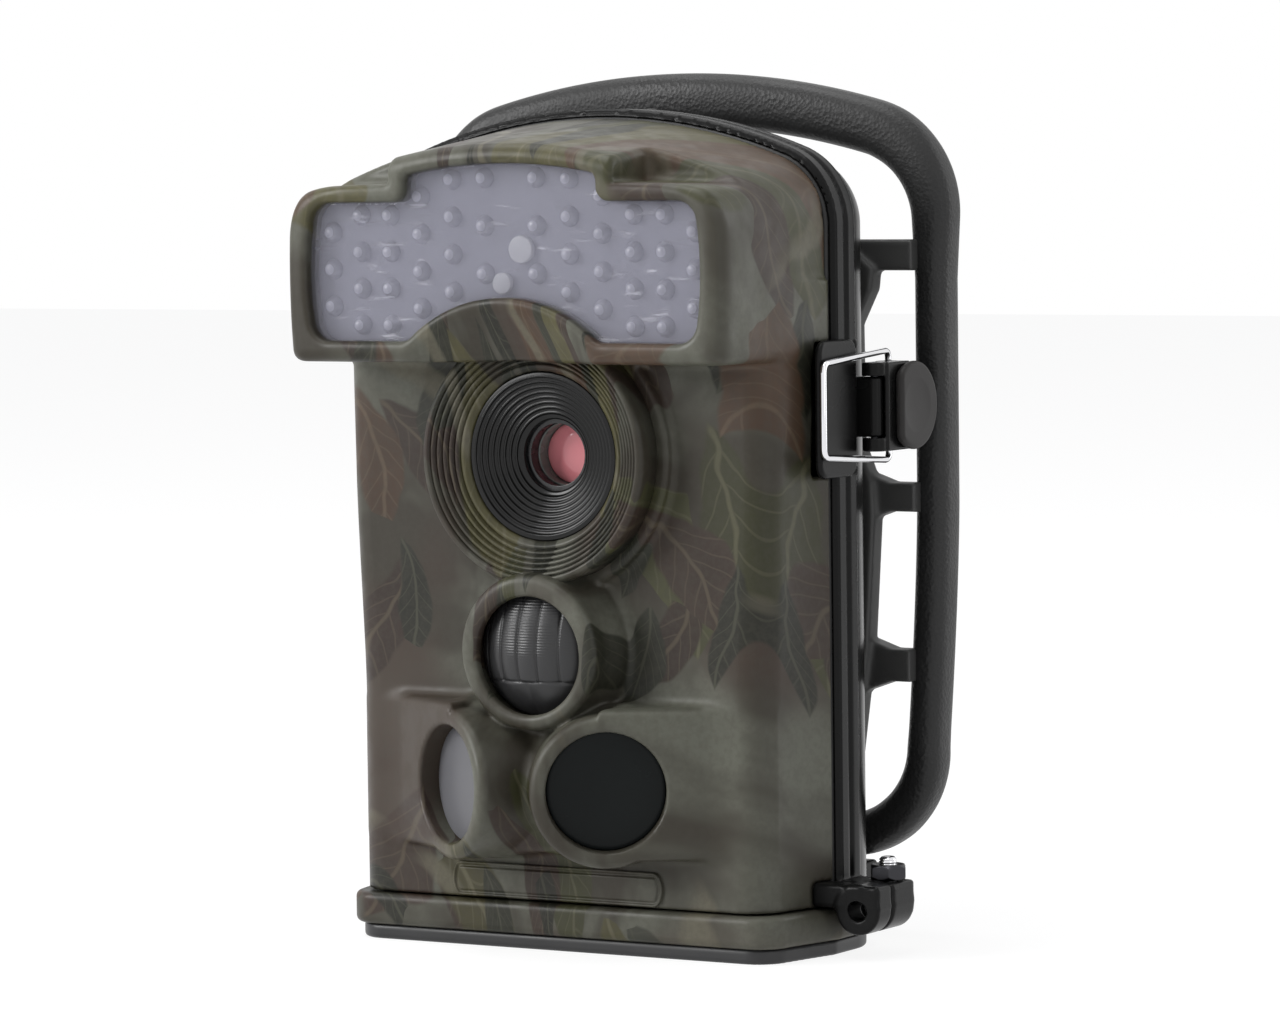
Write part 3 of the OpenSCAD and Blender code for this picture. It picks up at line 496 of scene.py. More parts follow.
def leather_grain():
    """Coarse pebbled moulding grain of the strap hoop."""
    color, rough = (0.019, 0.019, 0.019), 0.42
    paint = Paint("textured_black", color, rough, 0.3)
    pebble = paint.fill(paint.put("TexVoronoi"), Vector=paint.place, Scale=1500).outputs["Distance"]
    height = paint.math("ADD", pebble, paint.math("MULTIPLY", paint.noise(2600, 2), 0.5))
    worn = paint.noise(60, 3)
    paint.feed(Base_Color=paint.mix(worn, tinted(color, 0.8), tinted(color, 1.3)),
               Roughness=paint.remap(worn, 0.3, 0.7, rough - 0.05, rough + 0.07),
               Normal=paint.bump(height, 0.55, 0.00012))
    return paint.material


def smoke_window():
    """Clear tinted pane: mostly see-through, with a polished face and fine streaks."""
    paint = Paint("flash_window", (0.36, 0.36, 0.42), 0.06)
    haze = paint.noise(40, 2)
    stretch = paint.fill(paint.put("Mapping", paint.place), Scale=(0.16, 1.0, 1.0)).outputs[0]
    streak = paint.remap(paint.noise(520, 3, 0.6, stretch), 0.60, 0.74)
    tone = paint.mix(haze, (0.30, 0.30, 0.36), (0.36, 0.36, 0.42))
    paint.feed(Base_Color=paint.mix(paint.math("MULTIPLY", streak, 0.8), tone, (0.62, 0.62, 0.68)),
               Alpha=paint.remap(streak, 0.0, 1.0, 0.28, 0.62, "LINEAR"),
               Roughness=paint.remap(haze, 0.3, 0.7, 0.05, 0.09))
    return paint.material


def barrel_paint():
    """Black tube with a pale green edge round the glass, deeper than the split."""
    paint = Paint("barrel_black", (0.008, 0.008, 0.009), 0.25)
    depth = paint.put("SeparateXYZ", paint.place).outputs[1]
    split, blur = -12.1 * MM, 0.08 * MM
    edge = paint.remap(depth, split - blur, split + blur)
    paint.feed(Base_Color=paint.mix(edge, (0.008, 0.008, 0.009), (0.16, 0.18, 0.165)),
               Roughness=paint.remap(paint.noise(400, 2), 0.3, 0.7, 0.18, 0.3))
    return paint.material


def cell_paint():
    """Dark green jacket with a copper band towards one end, metal on the end faces."""
    paint = Paint("cell_jacket", (0.03, 0.08, 0.06), 0.25)
    height = paint.math("SUBTRACT", paint.put("SeparateXYZ", paint.place).outputs[2], 0.0135)
    phase = paint.math("MODULO", height, 0.053)
    band = paint.remap(phase, 0.0355, 0.0357)
    nub = paint.remap(phase, 0.0491, 0.0492)
    tone = paint.mix(band, (0.015, 0.05, 0.035), (0.42, 0.20, 0.09))
    paint.feed(Base_Color=paint.mix(nub, tone, (0.6, 0.6, 0.58)), Metallic=paint.math("MULTIPLY", nub, 0.9),
               Roughness=paint.remap(paint.noise(300, 3), 0.3, 0.7, 0.18, 0.32))
    return paint.material


# colour, roughness, then grain scale, grain strength, spread of roughness and specular level
MOULDED = {
    "black_gloss": ((0.006, 0.006, 0.006), 0.27, 900, 0.03, 0.04, 0.14),
    "black_plastic": ((0.016, 0.016, 0.017), 0.42),
    "black_rubber": ((0.008, 0.008, 0.008), 0.62),
    "matte_grey": ((0.042, 0.042, 0.041), 0.55, 1800, 0.25),
    "satin_black": ((0.034, 0.032, 0.031), 0.45, 2000, 0.2, 0.06, 0.15),
    "grey_plastic": ((0.05, 0.055, 0.06), 0.45),
    "white_plastic": ((0.6, 0.6, 0.56), 0.4),
    "battery_jacket": ((0.05, 0.11, 0.08), 0.25, 900, 0.04),
    "lens_black": ((0.005, 0.005, 0.005), 0.2, 900, 0.04, 0.05, 0.3),
    # lens_glass: pink painted brighter than the coated glass's own tone, painted light that makes up for the
    # hood's shadow on it
    "lens_glass": ((0.82, 0.27, 0.30), 0.12, 600, 0.02, 0.03),
    "sensor_silicon": ((0.03, 0.05, 0.045), 0.15, 900, 0.02),
    "led_reflector": ((0.30, 0.30, 0.37), 0.38, 700, 0.05),
    "led_dome": ((0.38, 0.38, 0.45), 0.08, 500, 0.02, 0.02),
    "pale_disc": ((0.66, 0.66, 0.70), 0.3, 600, 0.03),
    "dome_smoke": ((0.020, 0.020, 0.021), 0.36, 900, 0.03, 0.04),
    "pir_dark": ((0.008, 0.010, 0.010), 0.25, 900, 0.03, 0.05, 0.12),
    # pir_grey: the left side pane painted paler grey than pir_dark on the like right pane, a painted
    # highlight
    "pir_grey": ((0.13, 0.13, 0.14), 0.33, 900, 0.04, 0.05, 0.3),
    "board_green": ((0.02, 0.12, 0.05), 0.35),
    "screen_glass": ((0.012, 0.013, 0.018), 0.08, 500, 0.01, 0.02),
    "key_rubber": ((0.04, 0.041, 0.044), 0.5),
    "key_grey": ((0.12, 0.125, 0.13), 0.5),
    "card_blue": ((0.02, 0.06, 0.2), 0.4),
}
# colour, roughness and how far streaks change it
METALS = {
    "brass": ((0.72, 0.52, 0.25), 0.28),
    "steel": ((0.58, 0.59, 0.60), 0.26, 0.06),
    "dark_steel": ((0.16, 0.16, 0.17), 0.34, 0.06),
    "black_steel": ((0.05, 0.05, 0.055), 0.32, 0.05),
    "chrome": ((0.82, 0.82, 0.84), 0.07),
    "nickel": ((0.62, 0.61, 0.58), 0.22, 0.05),
    "gold_contact": ((0.83, 0.60, 0.25), 0.2),
}
PAINTS = {name: moulded(name, *look) for name, look in MOULDED.items()}
PAINTS.update({name: metal(name, *look) for name, look in METALS.items()})
PAINTS["camo_plastic"] = camouflage()
PAINTS["textured_black"] = leather_grain()
PAINTS["window_smoke"] = smoke_window()
PAINTS["barrel_black"] = barrel_paint()
PAINTS["cell_jacket"] = cell_paint()


def place(piece, body, slot, *nodes, finish=None):
    """Gives a piece its material, its body and the CAD nodes that it stands for."""
    piece.data.materials.clear()
    piece.data.materials.append(PAINTS[finish or slot])
    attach(piece, body)
    if nodes:
        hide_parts(*nodes)


# ---------------------------------------------------------------- door shell

def door_side(x, y, z):
    """Side walls of the door, which flare out to the rim and pull in at the waist."""
    t = np.clip((y - BODY_FRONT) / -BODY_FRONT, 0, 1.05)
    waist = np.exp(-((z - 74) / 17) ** 2)
    draft = 39.6 + 1.9 * smooth_step(z, 40, 80)
    half = draft + (43.8 - draft) * t ** 1.3 - 2.8 * waist * t * (1 - t)
    return (np.abs(x) - half) * 0.97


def body_field(x, y, z):
    """Body of the door, below the hood, rounded towards the front."""
    return cut_round(door_side(x, y, z), BODY_FRONT - y, 5)


def hood_field(x, y, z):
    """Flash hood, which also crowns the door."""
    t = np.clip((y - HOOD_FRONT) / -HOOD_FRONT, -0.1, 1.05)
    bulge = 0.9 * ((z - 114) / 14) ** 2
    side = (np.abs(x) - (42.9 + 0.9 * t) + np.minimum(bulge, 1.1) * (1 - t)) * 0.98
    front = cut_round(side, HOOD_FRONT - y, 3.4)
    top = arch(x, z, 43.0 + 0.8 * t, 135.3 + 4.1 * t, 9 + 4.5 * t, 98.0) * 0.985
    return cut_round(front, top, 2.2)


def shoulder_cut(x, y, z):
    """Pocket in the hood's top corners, beside the raised middle."""
    inner = cut_round(21.6 - np.abs(x), 129.0 - 0.03 * (np.abs(x) - 21) - z, 0.5)
    return cut_round(inner, y + 20.6, 2.0)


def window_field(x, z):
    """Outline of the flash window, arched over the lens."""
    bow = 1.2 * ((z - 114.4) / 11.5) ** 2
    wide = cut_round(np.abs(x) - 37.9 + bow, slab(z, 102.8, 125.9), 3)
    middle = cut_round(np.abs(x) - 18.5, np.hypot(x, z - 34.2) - 98, 1.2)
    middle = np.maximum(middle, 114 - z)
    both = join_round(wide, middle, 2.4)
    return cut_round(both, BROW_R - np.hypot(x, z - LENS_Z), 0.6)


def pod_axes(x, y, z, side):
    """Distance along a side sensor's axis, and from it."""
    dx, dy = x - side * POD_X, y - POD_Y
    out_x, out_y = side * math.sin(POD_TURN), -math.cos(POD_TURN)
    along = dx * out_x + dy * out_y
    sideways = dx * -out_y + dy * out_x
    return along, np.hypot(sideways, z - SIDE_Z)


def pods_field(x, y, z):
    """Two drums for the side sensors, turned outward, with a deck between them."""
    deck = slab(z, 17.0, 42.2)
    middle = cut_round(cut_round(np.abs(x) - 17, -21.0 - y, 1.0), deck, 1.6)
    field = middle
    for side in (-1, 1):
        along, radius = pod_axes(x, y, z, side)
        drum = cut_round(radius - POD_R, along, 1.5)
        drum = np.maximum(drum, -18 - along)
        wing = cut_round(cut_round(along, deck, 1.5), 14 - side * x, 1.0)
        field = join_round(field, np.minimum(drum, wing), 1.8)
    return field


def shell_outside(x, y, z):
    """Body, lens boss, sensor pods, motion-sensor ring and the hood with its brow."""
    body = np.maximum(body_field(x, y, z), z - BODY_TOP)
    body = cut_round(body, SHELL_BOTTOM - z, 0.5)
    hood = cut_round(hood_field(x, y, z), HOOD_BOTTOM - z, 1.9)
    hood = cut_round(hood, -shoulder_cut(x, y, z), 1.1)
    radius = np.hypot(x, z - LENS_Z)
    boss = cut_round(radius - 23.3, -18.3 - y, 0.9)
    boss = np.maximum(boss, y + 13)
    field = join_round(body, boss, 1.0)
    field = join_round(field, np.maximum(pods_field(x, y, z), y + 13.5), 1.6)
    ring_r = np.hypot(x, z - PIR_Z)
    flare = 13.1 + 1.6 * smooth_step(y, -23, -16.6)
    ring = cut_round(ring_r - flare, -25.9 - y, 1.5)
    ring = np.maximum(ring, y + 13.5)
    field = join_round(field, ring, 0.9)
    brow = (24.9 - 1.4 * (y - HOOD_FRONT) - radius) / 1.72
    hood = cut_round(hood, brow, 0.6)
    hood = np.maximum(hood, np.minimum(22.0 - radius, y + 26.2))
    return join_round(field, hood, 1.6)


def shell_inside(x, y, z):
    """The door's hollow, open at the back."""
    body = np.maximum(body_field(x, y, z), np.maximum(SHELL_BOTTOM - z, z - BODY_TOP))
    hood = np.maximum(hood_field(x, y, z), HOOD_BOTTOM - z)
    hood = np.maximum(hood, -shoulder_cut(x, y, z))
    hood = np.maximum(hood, 24.8 - np.hypot(x, z - LENS_Z))
    return np.maximum(np.minimum(body, hood) + WALL, WINDOW_BACK - y)


def shell_field(x, y, z):
    """The shell with its hollow, its openings and the seats of the parts on it."""
    field = shell_outside(x, y, z)
    field = cut_round(field, y - DOOR_BACK, 0.3)
    field = cut_round(field, -shell_inside(x, y, z), 0.3)
    pane = window_field(x, z)
    field = cut_round(field, -np.maximum(pane, y - WINDOW_BACK), 0.9)
    ring_r = np.hypot(x, z - PIR_Z)
    field = np.maximum(field, -np.maximum(ring_r - 11.3, np.abs(y + 17.8) - 5.8))
    mouth = np.hypot(x, z - PIR_Z + 0.6) - 9.9
    field = cut_round(field, -np.maximum(mouth, y + 20), 0.9)
    lens_r = np.hypot(x, z - LENS_Z)
    field = np.maximum(field, -np.maximum(lens_r - 14.2, y + 14.9))
    field = np.maximum(field, -np.maximum(lens_r - 9, y + 10))
    for side in (-1, 1):
        along, radius = pod_axes(x, y, z, side)
        field = cut_round(field, -np.maximum(radius - 10.0, -PANE_DEPTH - 0.8 - along), 0.5)
        field = np.maximum(field, -cut_round(radius - 9.3, -14 - along, 0.1))
    # seats for the catch plate, the lock lug and the hinge leaves
    catch_seat = box(x, y, z, (40.3, -4.2, CATCH_LOW[2] + 0.2), (60, 2, CATCH_HIGH[2] - 0.2), 0.4)
    field = np.maximum(field, -catch_seat)
    field = np.maximum(field, -box(x, y, z, (42, -5.2, 0), (60, 2, LUG_HIGH[2] + 0.1)))
    for hinge_z in HINGE_ZS:
        field = np.maximum(field, -box(x, y, z, (-60, -2.7, hinge_z - 4.1), (-42.6, 2, hinge_z + 4.1)))
    return field


def front_shell():
    """The door's moulded shell, meshed in one piece."""
    piece = solid("door_shell", shell_field, (-45, HOOD_FRONT, SHELL_BOTTOM), (45, DOOR_BACK, 140), 0.5)
    place(piece, "front_door", "camo_plastic", "front_shell")


# ---------------------------------------------------------------- the rest of the door

def name_plate():
    """Bare raised plate with a shallow groove round it."""
    low, high = node_box("name_plate")
    middle, tall = (low[2] + high[2]) / 2, (high[2] - low[2]) / 2
    front = low[1] + 0.15

    def field(x, y, z):
        side = np.abs(x) - 19.2 - 1.3 * np.cos((z - middle) / tall * 1.3)
        outline = cut_round(side, np.abs(z - middle) - tall, 0.9)
        plate = np.maximum(cut_round(outline, front - y, 0.25), y + 16.3)
        groove = np.hypot(outline + 0.7, y - front) - 0.3
        return np.maximum(plate, -groove)

    piece = solid("name_plate_bare", field, low, (high[0], -16.2, high[2]), 0.22)
    place(piece, "front_door", "camo_plastic", "name_plate")


def ring_profile():
    """Grooved dish round the lens, from its back round the front to the bezel."""
    front = RING_LOW[1]
    back = RING_HIGH[1]
    outer = RING_HIGH[0]
    points = [(14.2, back), (outer - 0.1, back), (outer, front + 1.0), (outer - 0.35, front + 0.2),
              (outer - 0.9, front)]
    grooves, start, pitch = 6, outer - 1.3, 0.86
    slope = 3.9 / 6.2
    for i in range(grooves):
        r = start - i * pitch
        y = front + (start - r) * slope
        points += [(r, y + 0.02), (r - 0.06, y + 0.85), (r - 0.34, y + 0.95), (r - 0.42, y + 0.3)]
    end = start - grooves * pitch
    points += [(end - 0.1, front + (start - end) * slope), (14.4, front + 3.7), (14.2, front + 3.9)]
    return points


def bezel_profile():
    """Black stepped cone: each step is a small rounded ridge."""
    low, high = node_box("lens_bezel")
    points = [(6.0, high[1]), (14.1, high[1]), (14.1, low[1] + 0.3), (13.9, low[1] + 0.1)]
    rings, outer, inner = 8, 13.5, 6.5
    pitch = (outer - inner) / rings
    drop = 3.6 / rings
    for i in range(rings):
        r = outer - i * pitch
        y = low[1] + 0.25 + i * drop
        points += [(r, y + 0.05), (r - 0.12, y - 0.04), (r - 0.30, y - 0.02),
                   (r - 0.38, y + 0.12), (r - 0.42, y + drop), (r - pitch + 0.06, y + drop + 0.05)]
    points += [(6.35, low[1] + 4.0), (6.1, low[1] + 4.1), (6.0, low[1] + 4.3)]
    return points


def lens_parts():
    """Dish, cone, tube and glass, all turned about the lens axis."""
    centre = (0, 0, LENS_Z)
    place(lathe("lens_dish", ring_profile(), centre, segments=192), "front_door", "camo_plastic",
          "lens_ring")
    place(lathe("lens_cone", bezel_profile(), centre, segments=192), "front_door", "lens_black",
          "lens_bezel")
    low, high = node_box("lens_barrel")
    front, back = (corner[1] for corner in node_box("lens_glass"))
    profile = [(5.2, low[1]), (8.4, low[1]), (8.4, high[1]), (4, high[1]), (4, back), (5.15, back),
               (5.15, -12.0), (5.45, -12.2), (5.45, low[1] + 0.5)]
    place(lathe("lens_tube", rounded(profile, 0.12), centre), "front_door", "lens_black", "lens_barrel",
          finish="barrel_black")
    radius, crown = 5.05, 0.75
    dome = [(radius * math.sin(a), front + crown * (1 - math.cos(a)))
            for a in np.linspace(0, math.pi / 2, 9)]
    # Its pink is painted brighter than the glass's own tone: painted light in place of the lamp light the
    # hood keeps off it
    place(lathe("lens_glass_coated", dome + [(radius, back), (0, back)], centre), "front_door",
          "lens_glass", "lens_glass")


def flash_window():
    """Clear pane, and the pale board behind it."""
    for node, name, slot, inset, edge, step in (
            ("led_window", "flash_pane", "window_smoke", 0.35, 0.2, 0.4),
            ("led_board", "flash_board", "led_reflector", 0.4, 0.1, 0.5)):
        low, high = node_box(node)

        def field(x, y, z):
            return cut_round(window_field(x, z) - inset, slab(y, low[1], high[1]), edge)

        place(solid(name, field, low, high, step), "front_door", slot, node)


def axis_point(low, high):
    """Middle of a box in X and Z, where a lathe piece's axis goes."""
    return (low[0] + high[0]) / 2, 0, (low[2] + high[2]) / 2


def diodes():
    """Domes of the infrared diodes, joined as one piece, and the two pale discs."""
    face = node_box("led_board")[0][1]
    sides, rows, radius, foot, collar = 20, 6, 1.5, 1.75, 0.3
    spots = [(side * x, low_z + i * spacing)
             for x, low_z, count, spacing in LED_COLUMNS for side in (-1, 1) for i in range(count)]
    rings = [(radius * math.cos(a), face - collar - radius * math.sin(a))
             for a in (math.pi / 2 * j / rows for j in range(rows))]
    verts, faces = [], []
    for x, z in spots:
        start = len(verts)
        for r, y in rings + [(foot, face)]:
            verts += [(x + r * math.cos(b), y, z + r * math.sin(b)) for b in circle(sides)]
        tip = len(verts)
        verts += [(x, face - collar - radius, z), (x, face, z)]
        faces += strips(neighbours(rows)[:-1], sides, start)
        top, edge = start + (rows - 1) * sides, start + rows * sides
        for k, m in neighbours(sides):
            faces += [(top + k, top + m, tip), (edge + k, edge + m, start + m, start + k),
                      (edge + m, edge + k, tip + 1)]
    place(weld(make_mesh("diode_domes", verts, faces)), "front_door", "led_dome", "ir_leds")
    for node, name in (("light_sensor", "light_disc"), ("status_light", "status_disc")):
        low, high = node_box(node)
        r = (high[0] - low[0]) / 2
        profile = rounded([(0, low[1]), (r, low[1] + 0.1), (r, high[1]), (0, high[1])], 0.3)
        place(lathe(name, profile, axis_point(low, high)), "front_door", "led_dome", node,
              finish="pale_disc")


def pir_dome():
    """Domed sensor lens: columns of fine ribs over a lower row of larger cells."""
    rings, sides, edge = 90, 256, 10.75
    sphere_r, column, split_z = 15.6, 3.7, -5.0
    centre_y = PIR_LOW[1] + sphere_r

    def height(x, z):
        base = centre_y - np.sqrt(sphere_r ** 2 - x ** 2 - z ** 2)
        upper = z > split_z
        phase = (x / column + 0.5) % 1 - 0.5
        low_phase = (x / (column * 2)) % 1 - 0.5
        swell = np.where(upper, -0.9 * (0.25 - phase ** 2), -1.0 * (0.25 - low_phase ** 2))
        seam = np.where(upper, 0.22 * np.exp(-((0.5 - np.abs(phase)) / 0.05) ** 2), 0)
        ribs = np.where(upper, 0.05 * np.sin(z * 2 * math.pi / 0.46) * smooth_step(z, -2, 3), 0)
        split = 0.16 * np.exp(-((z - split_z) / 0.22) ** 2)
        return base + 0.25 + swell + seam + ribs + split

    radii, angles = edge * np.arange(1, rings + 1) / rings, np.array(circle(sides))
    x = np.append(0, np.outer(radii, np.cos(angles)))
    z = np.append(0, np.outer(radii, np.sin(angles)))
    verts = list(zip(x, height(x, z), z + PIR_Z))
    verts += [(edge * math.cos(a), PIR_HIGH[1], PIR_Z + edge * math.sin(a)) for a in angles]
    faces = [(0, 1 + k, 1 + m) for k, m in neighbours(sides)]
    faces += strips(neighbours(rings + 1)[:-1], sides, 1)
    faces.append(tuple(range(1 + rings * sides, 1 + (rings + 1) * sides)))
    place(weld(make_mesh("motion_lens", verts, faces)), "front_door", "pir_dark", "pir_lens",
          finish="dome_smoke")


def side_windows():
    """Round panes of the side sensors, turned outward."""
    front, back, radius = PANE_DEPTH, PANE_DEPTH + 0.8, 9.9
    profile = [(0, front), (9.2, front + 0.06), (radius, front + 0.1), (radius, back), (0, back)]
    # The two panes are alike; the left one is painted paler grey than the right one, a painted highlight
    for side, end, slot in ((-1, "left", "pir_grey"), (1, "right", "pir_dark")):
        piece = lathe("sensor_pane_" + end, rounded(profile, 0.15), (side * POD_X, POD_Y, SIDE_Z),
                      side * POD_TURN)
        place(piece, "front_door", slot, "side_window_" + end)


def catch_plate():
    """Glossy plate over the rim, with rounded ends, on a sloped root."""
    middle = (CATCH_LOW[2] + CATCH_HIGH[2]) / 2

    def field(x, y, z):
        ends = slab(z, CATCH_LOW[2], CATCH_HIGH[2])
        face = cut_round(slab(y, CATCH_LOW[1], CATCH_HIGH[1]), ends, 2.4)
        plate = cut_round(face, slab(x, CATCH_HIGH[0] - 1.3, CATCH_HIGH[0]), 0.6)
        root = box(x, y, z, (40.5, -6.2, middle - 10.7), (45.4, -0.6, middle + 10.7), 0.5)
        root = np.maximum(root, (-6.2 + (45.3 - x) * 1.6 - y) * 0.53)
        return join_round(plate, root, 0.3)

    place(solid("catch", field, CATCH_LOW, CATCH_HIGH, 0.22), "front_door", "black_gloss", "catch_plate")


def lug_field(x, y, z, back, front, root_x, lug_top):
    """Pierced round lug with a flat top, joined to the shell by a bridge."""
    radius = np.hypot(x - LUG_X, z - LUG_Z)
    drum = cut_round(radius - LUG_R, slab(y, front, back), 0.6)
    ear = box(x, y, z, (LUG_X - 2, front, LUG_Z), (LUG_X + LUG_R, back, lug_top), 0.7)
    bridge = box(x, y, z, (root_x, front, 8.6), (LUG_X + 1, back, lug_top), 0.6)
    field = join_round(join_round(drum, ear, 0.5), bridge, 0.8)
    return cut_round(field, LOCK_R - radius, 0.35)


def front_lug():
    """The door's half of the lock lug."""
    def field(x, y, z):
        return lug_field(x, y, z, LUG_HIGH[1], LUG_LOW[1], 42.2, LUG_HIGH[2])

    piece = solid("door_lug", field, LUG_LOW, LUG_HIGH, 0.25)
    place(piece, "front_door", "black_gloss", "front_lock_lug")


def door_knuckles():
    """The door's hinge knuckles, each on a leaf."""
    def field(x, y, z):
        whole = None
        for middle in HINGE_ZS:
            tall = np.abs(z - middle) - KNUCKLE_HALF
            barrel = cut_round(np.hypot(x - HINGE_X, y - HINGE_Y) - KNUCKLE_R, tall, 0.35)
            leaf = box(x, y, z, (-46.6, -2.6, middle - 4), (-45.3, 4.4, middle + 4), 0.4)
            root = box(x, y, z, (-46.6, -2.6, middle - 4), (-42.7, -0.7, middle + 4), 0.4)
            part = np.maximum(join_round(np.minimum(barrel, leaf), root, 0.5),
                              0.86 - np.hypot(x - HINGE_X, y - HINGE_Y))
            whole = part if whole is None else np.minimum(whole, part)
        return whole

    low, high = node_box("door_hinge")
    place(solid("door_knuckles", field, low, high, 0.3), "front_door", "black_plastic", "door_hinge")


# ---------------------------------------------------------------- housing

def housing_taper(x, y, z, inset=0.0):
    """Tapered back of the housing."""
    t = np.clip((y - RIM_BACK) / 14.4, -1, 1.1)
    draw = 1.2 + 7.0 * np.maximum(t, 0) ** 1.8 + inset
    outline = arch(x, z, RIM_HALF, RIM_TOP) + draw
    outline = cut_round(outline, SHELL_BOTTOM + inset - z, 1.2) * 0.93
    return cut_round(outline, y - (22.4 - inset), 3.2)


def housing_field(x, y, z):
    """Rim and tapered back, hollow, with the hinge, latch and lock lugs on it."""
    rim = arch(x, z, RIM_HALF, RIM_TOP)
    rim = cut_round(rim, SHELL_BOTTOM - z, 0.8)
    lip = rim + 0.9 * smooth_step(0.9 - y, 0, 0.25)
    bands = lip + 0.55 * np.exp(-((y - 4.3) / 0.42) ** 2) + 0.25 * smooth_step(y, 7.0, 8.0)
    rim = cut_round(bands, slab(y, RIM_FRONT, RIM_BACK), 0.5)
    field = join_round(rim, np.maximum(housing_taper(x, y, z), RIM_BACK - 1 - y), 1.0)
    hollow = np.maximum(housing_taper(x, y, z, WALL), RIM_FRONT - 2 - y)
    field = cut_round(field, -hollow, 0.3)
    groove = np.maximum(np.abs(arch(x, z, *SEAL_ARCH)) - 0.6, y - RIM_FRONT - 1)
    field = np.maximum(field, -np.maximum(groove, 9.8 - z))
    for middle in HINGE_ZS:
        for side in (-1, 1):
            centre = middle + side * 8.3
            tall = np.abs(z - centre) - KNUCKLE_HALF
            barrel = cut_round(np.hypot(x - HINGE_X, y - HINGE_Y) - KNUCKLE_R, tall, 0.3)
            root = box(x, y, z, (HINGE_X, HINGE_Y - 2, centre - 4), (-43.8, HINGE_Y + 2, centre + 4), 0.3)
            field = join_round(field, np.minimum(barrel, root), 0.3)
    latch = cut_round(np.hypot(x - LEVER_X, y - LEVER_Y) - 1.4, np.abs(z - LATCH_Z) - 5, 0.25)
    latch = np.minimum(latch, box(x, y, z, (43, LEVER_Y - 1.4, LATCH_Z - 5),
                                  (LEVER_X, LEVER_Y + 1.4, LATCH_Z + 5), 0.3))
    field = join_round(field, latch, 0.4)
    lug = lug_field(x, y, z, RIM_BACK, 0.2, 43.2, 12.4)
    field = join_round(field, lug, 0.4)
    # small gussets above and below the wire loop
    for low_z in (LATCH_Z + 9.8, LATCH_Z - 11.2):
        slope = cut_round((x - 45.2) + (y - 7) * 0.72, 6.6 - y, 0.3)
        gusset = np.maximum(slab(z, low_z, low_z + 1.4), slope)
        field = np.minimum(field, np.maximum(gusset, 40 - x))
    # domed lug that steadies the hoop's crown
    dome = np.sqrt((x / 3.0) ** 2 + ((y - 17.5) / 5.6) ** 2 + ((z - 137.2) / 3.9) ** 2) - 1
    field = join_round(field, dome * 2.6, 1.4)
    for side in (-1, 1):
        foot = box(x, y, z, (side * 33 - 3, 16.4, 8.2), (side * 33 + 3, HOOP_Y, 12.2), 0.6)
        field = join_round(field, foot, 0.8)
    return field


def rear_housing():
    """The housing and the seal in its rim."""
    piece = solid("housing_shell", housing_field, HOUSING_LOW, HOUSING_HIGH, 0.5)
    place(piece, "housing", "black_gloss", "rear_housing")

    def seal(x, y, z):
        bead = np.hypot(arch(x, z, *SEAL_ARCH), (y - 0.75) * 0.9) - 0.62
        return np.maximum(bead, 9.9 - z)

    low, high = node_box("housing_gasket")
    place(solid("seal_bead", seal, low, high, 0.35), "housing", "black_rubber", "housing_gasket")


def foot_plan(x, y, inset):
    """The foot flares from the front like the door, and rounds off at the back."""
    t = np.clip((y + 17.8) / 17.6, 0, 1)
    side = (np.abs(x) - (41.4 + 3.9 * t ** 1.2 - inset)) * 0.97
    front = cut_round(side, FOOT_LOW[1] + inset - y, 4.5)
    return cut_round(front, y - FOOT_HIGH[1] + inset, 12)


def foot_parts():
    """Camouflaged ledge, and the black pad under it."""
    def ledge(x, y, z):
        plan = foot_plan(x, y, 0.0)
        field = cut_round(plan, slab(z, FOOT_LOW[2], FOOT_HIGH[2]), 1.1)
        return np.maximum(field, 4.65 - np.hypot(x, y))

    piece = solid("foot_ledge", ledge, FOOT_LOW, FOOT_HIGH, 0.4)
    place(piece, "housing", "camo_plastic", "foot_cap")

    def base(x, y, z):
        field = cut_round(foot_plan(x, y, 1.15), slab(z, BASE_LOW[2], BASE_HIGH[2]), 0.7)
        field = np.maximum(field, 4.65 - np.hypot(x, y))
        for screw_x, screw_y in itertools.product((-26, 26), (-6, 14)):
            radius = np.hypot(x - screw_x, y - screw_y)
            field = np.maximum(field, -np.maximum(radius - 2.9, z - 1.4))
        # shallow ribs that grip a table
        ribs = np.maximum(np.abs(((y + 60) % 3.0) - 1.5) - 0.35, z - 0.3)
        ribs = np.maximum(ribs, cut_round(np.abs(x) - 33, slab(y, -11, 17), 5))
        ribs = np.maximum(ribs, 9 - np.hypot(x, y))
        return np.maximum(field, -ribs)

    piece = solid("base_pad", base, BASE_LOW, BASE_HIGH, 0.35)
    place(piece, "housing", "black_plastic", "base_plate")


# ---------------------------------------------------------------- strap bracket

HOOP_HALF, HOOP_TOP = 48.2, 142.4
HOOP_CORNER, HOOP_CROWN, HOOP_FOOT = 16.0, 138.0, 15.5
HOOP_LOW_HALF, HOOP_LOW_Z, HOOP_WAIST = 46.0, 31.8, 75.0


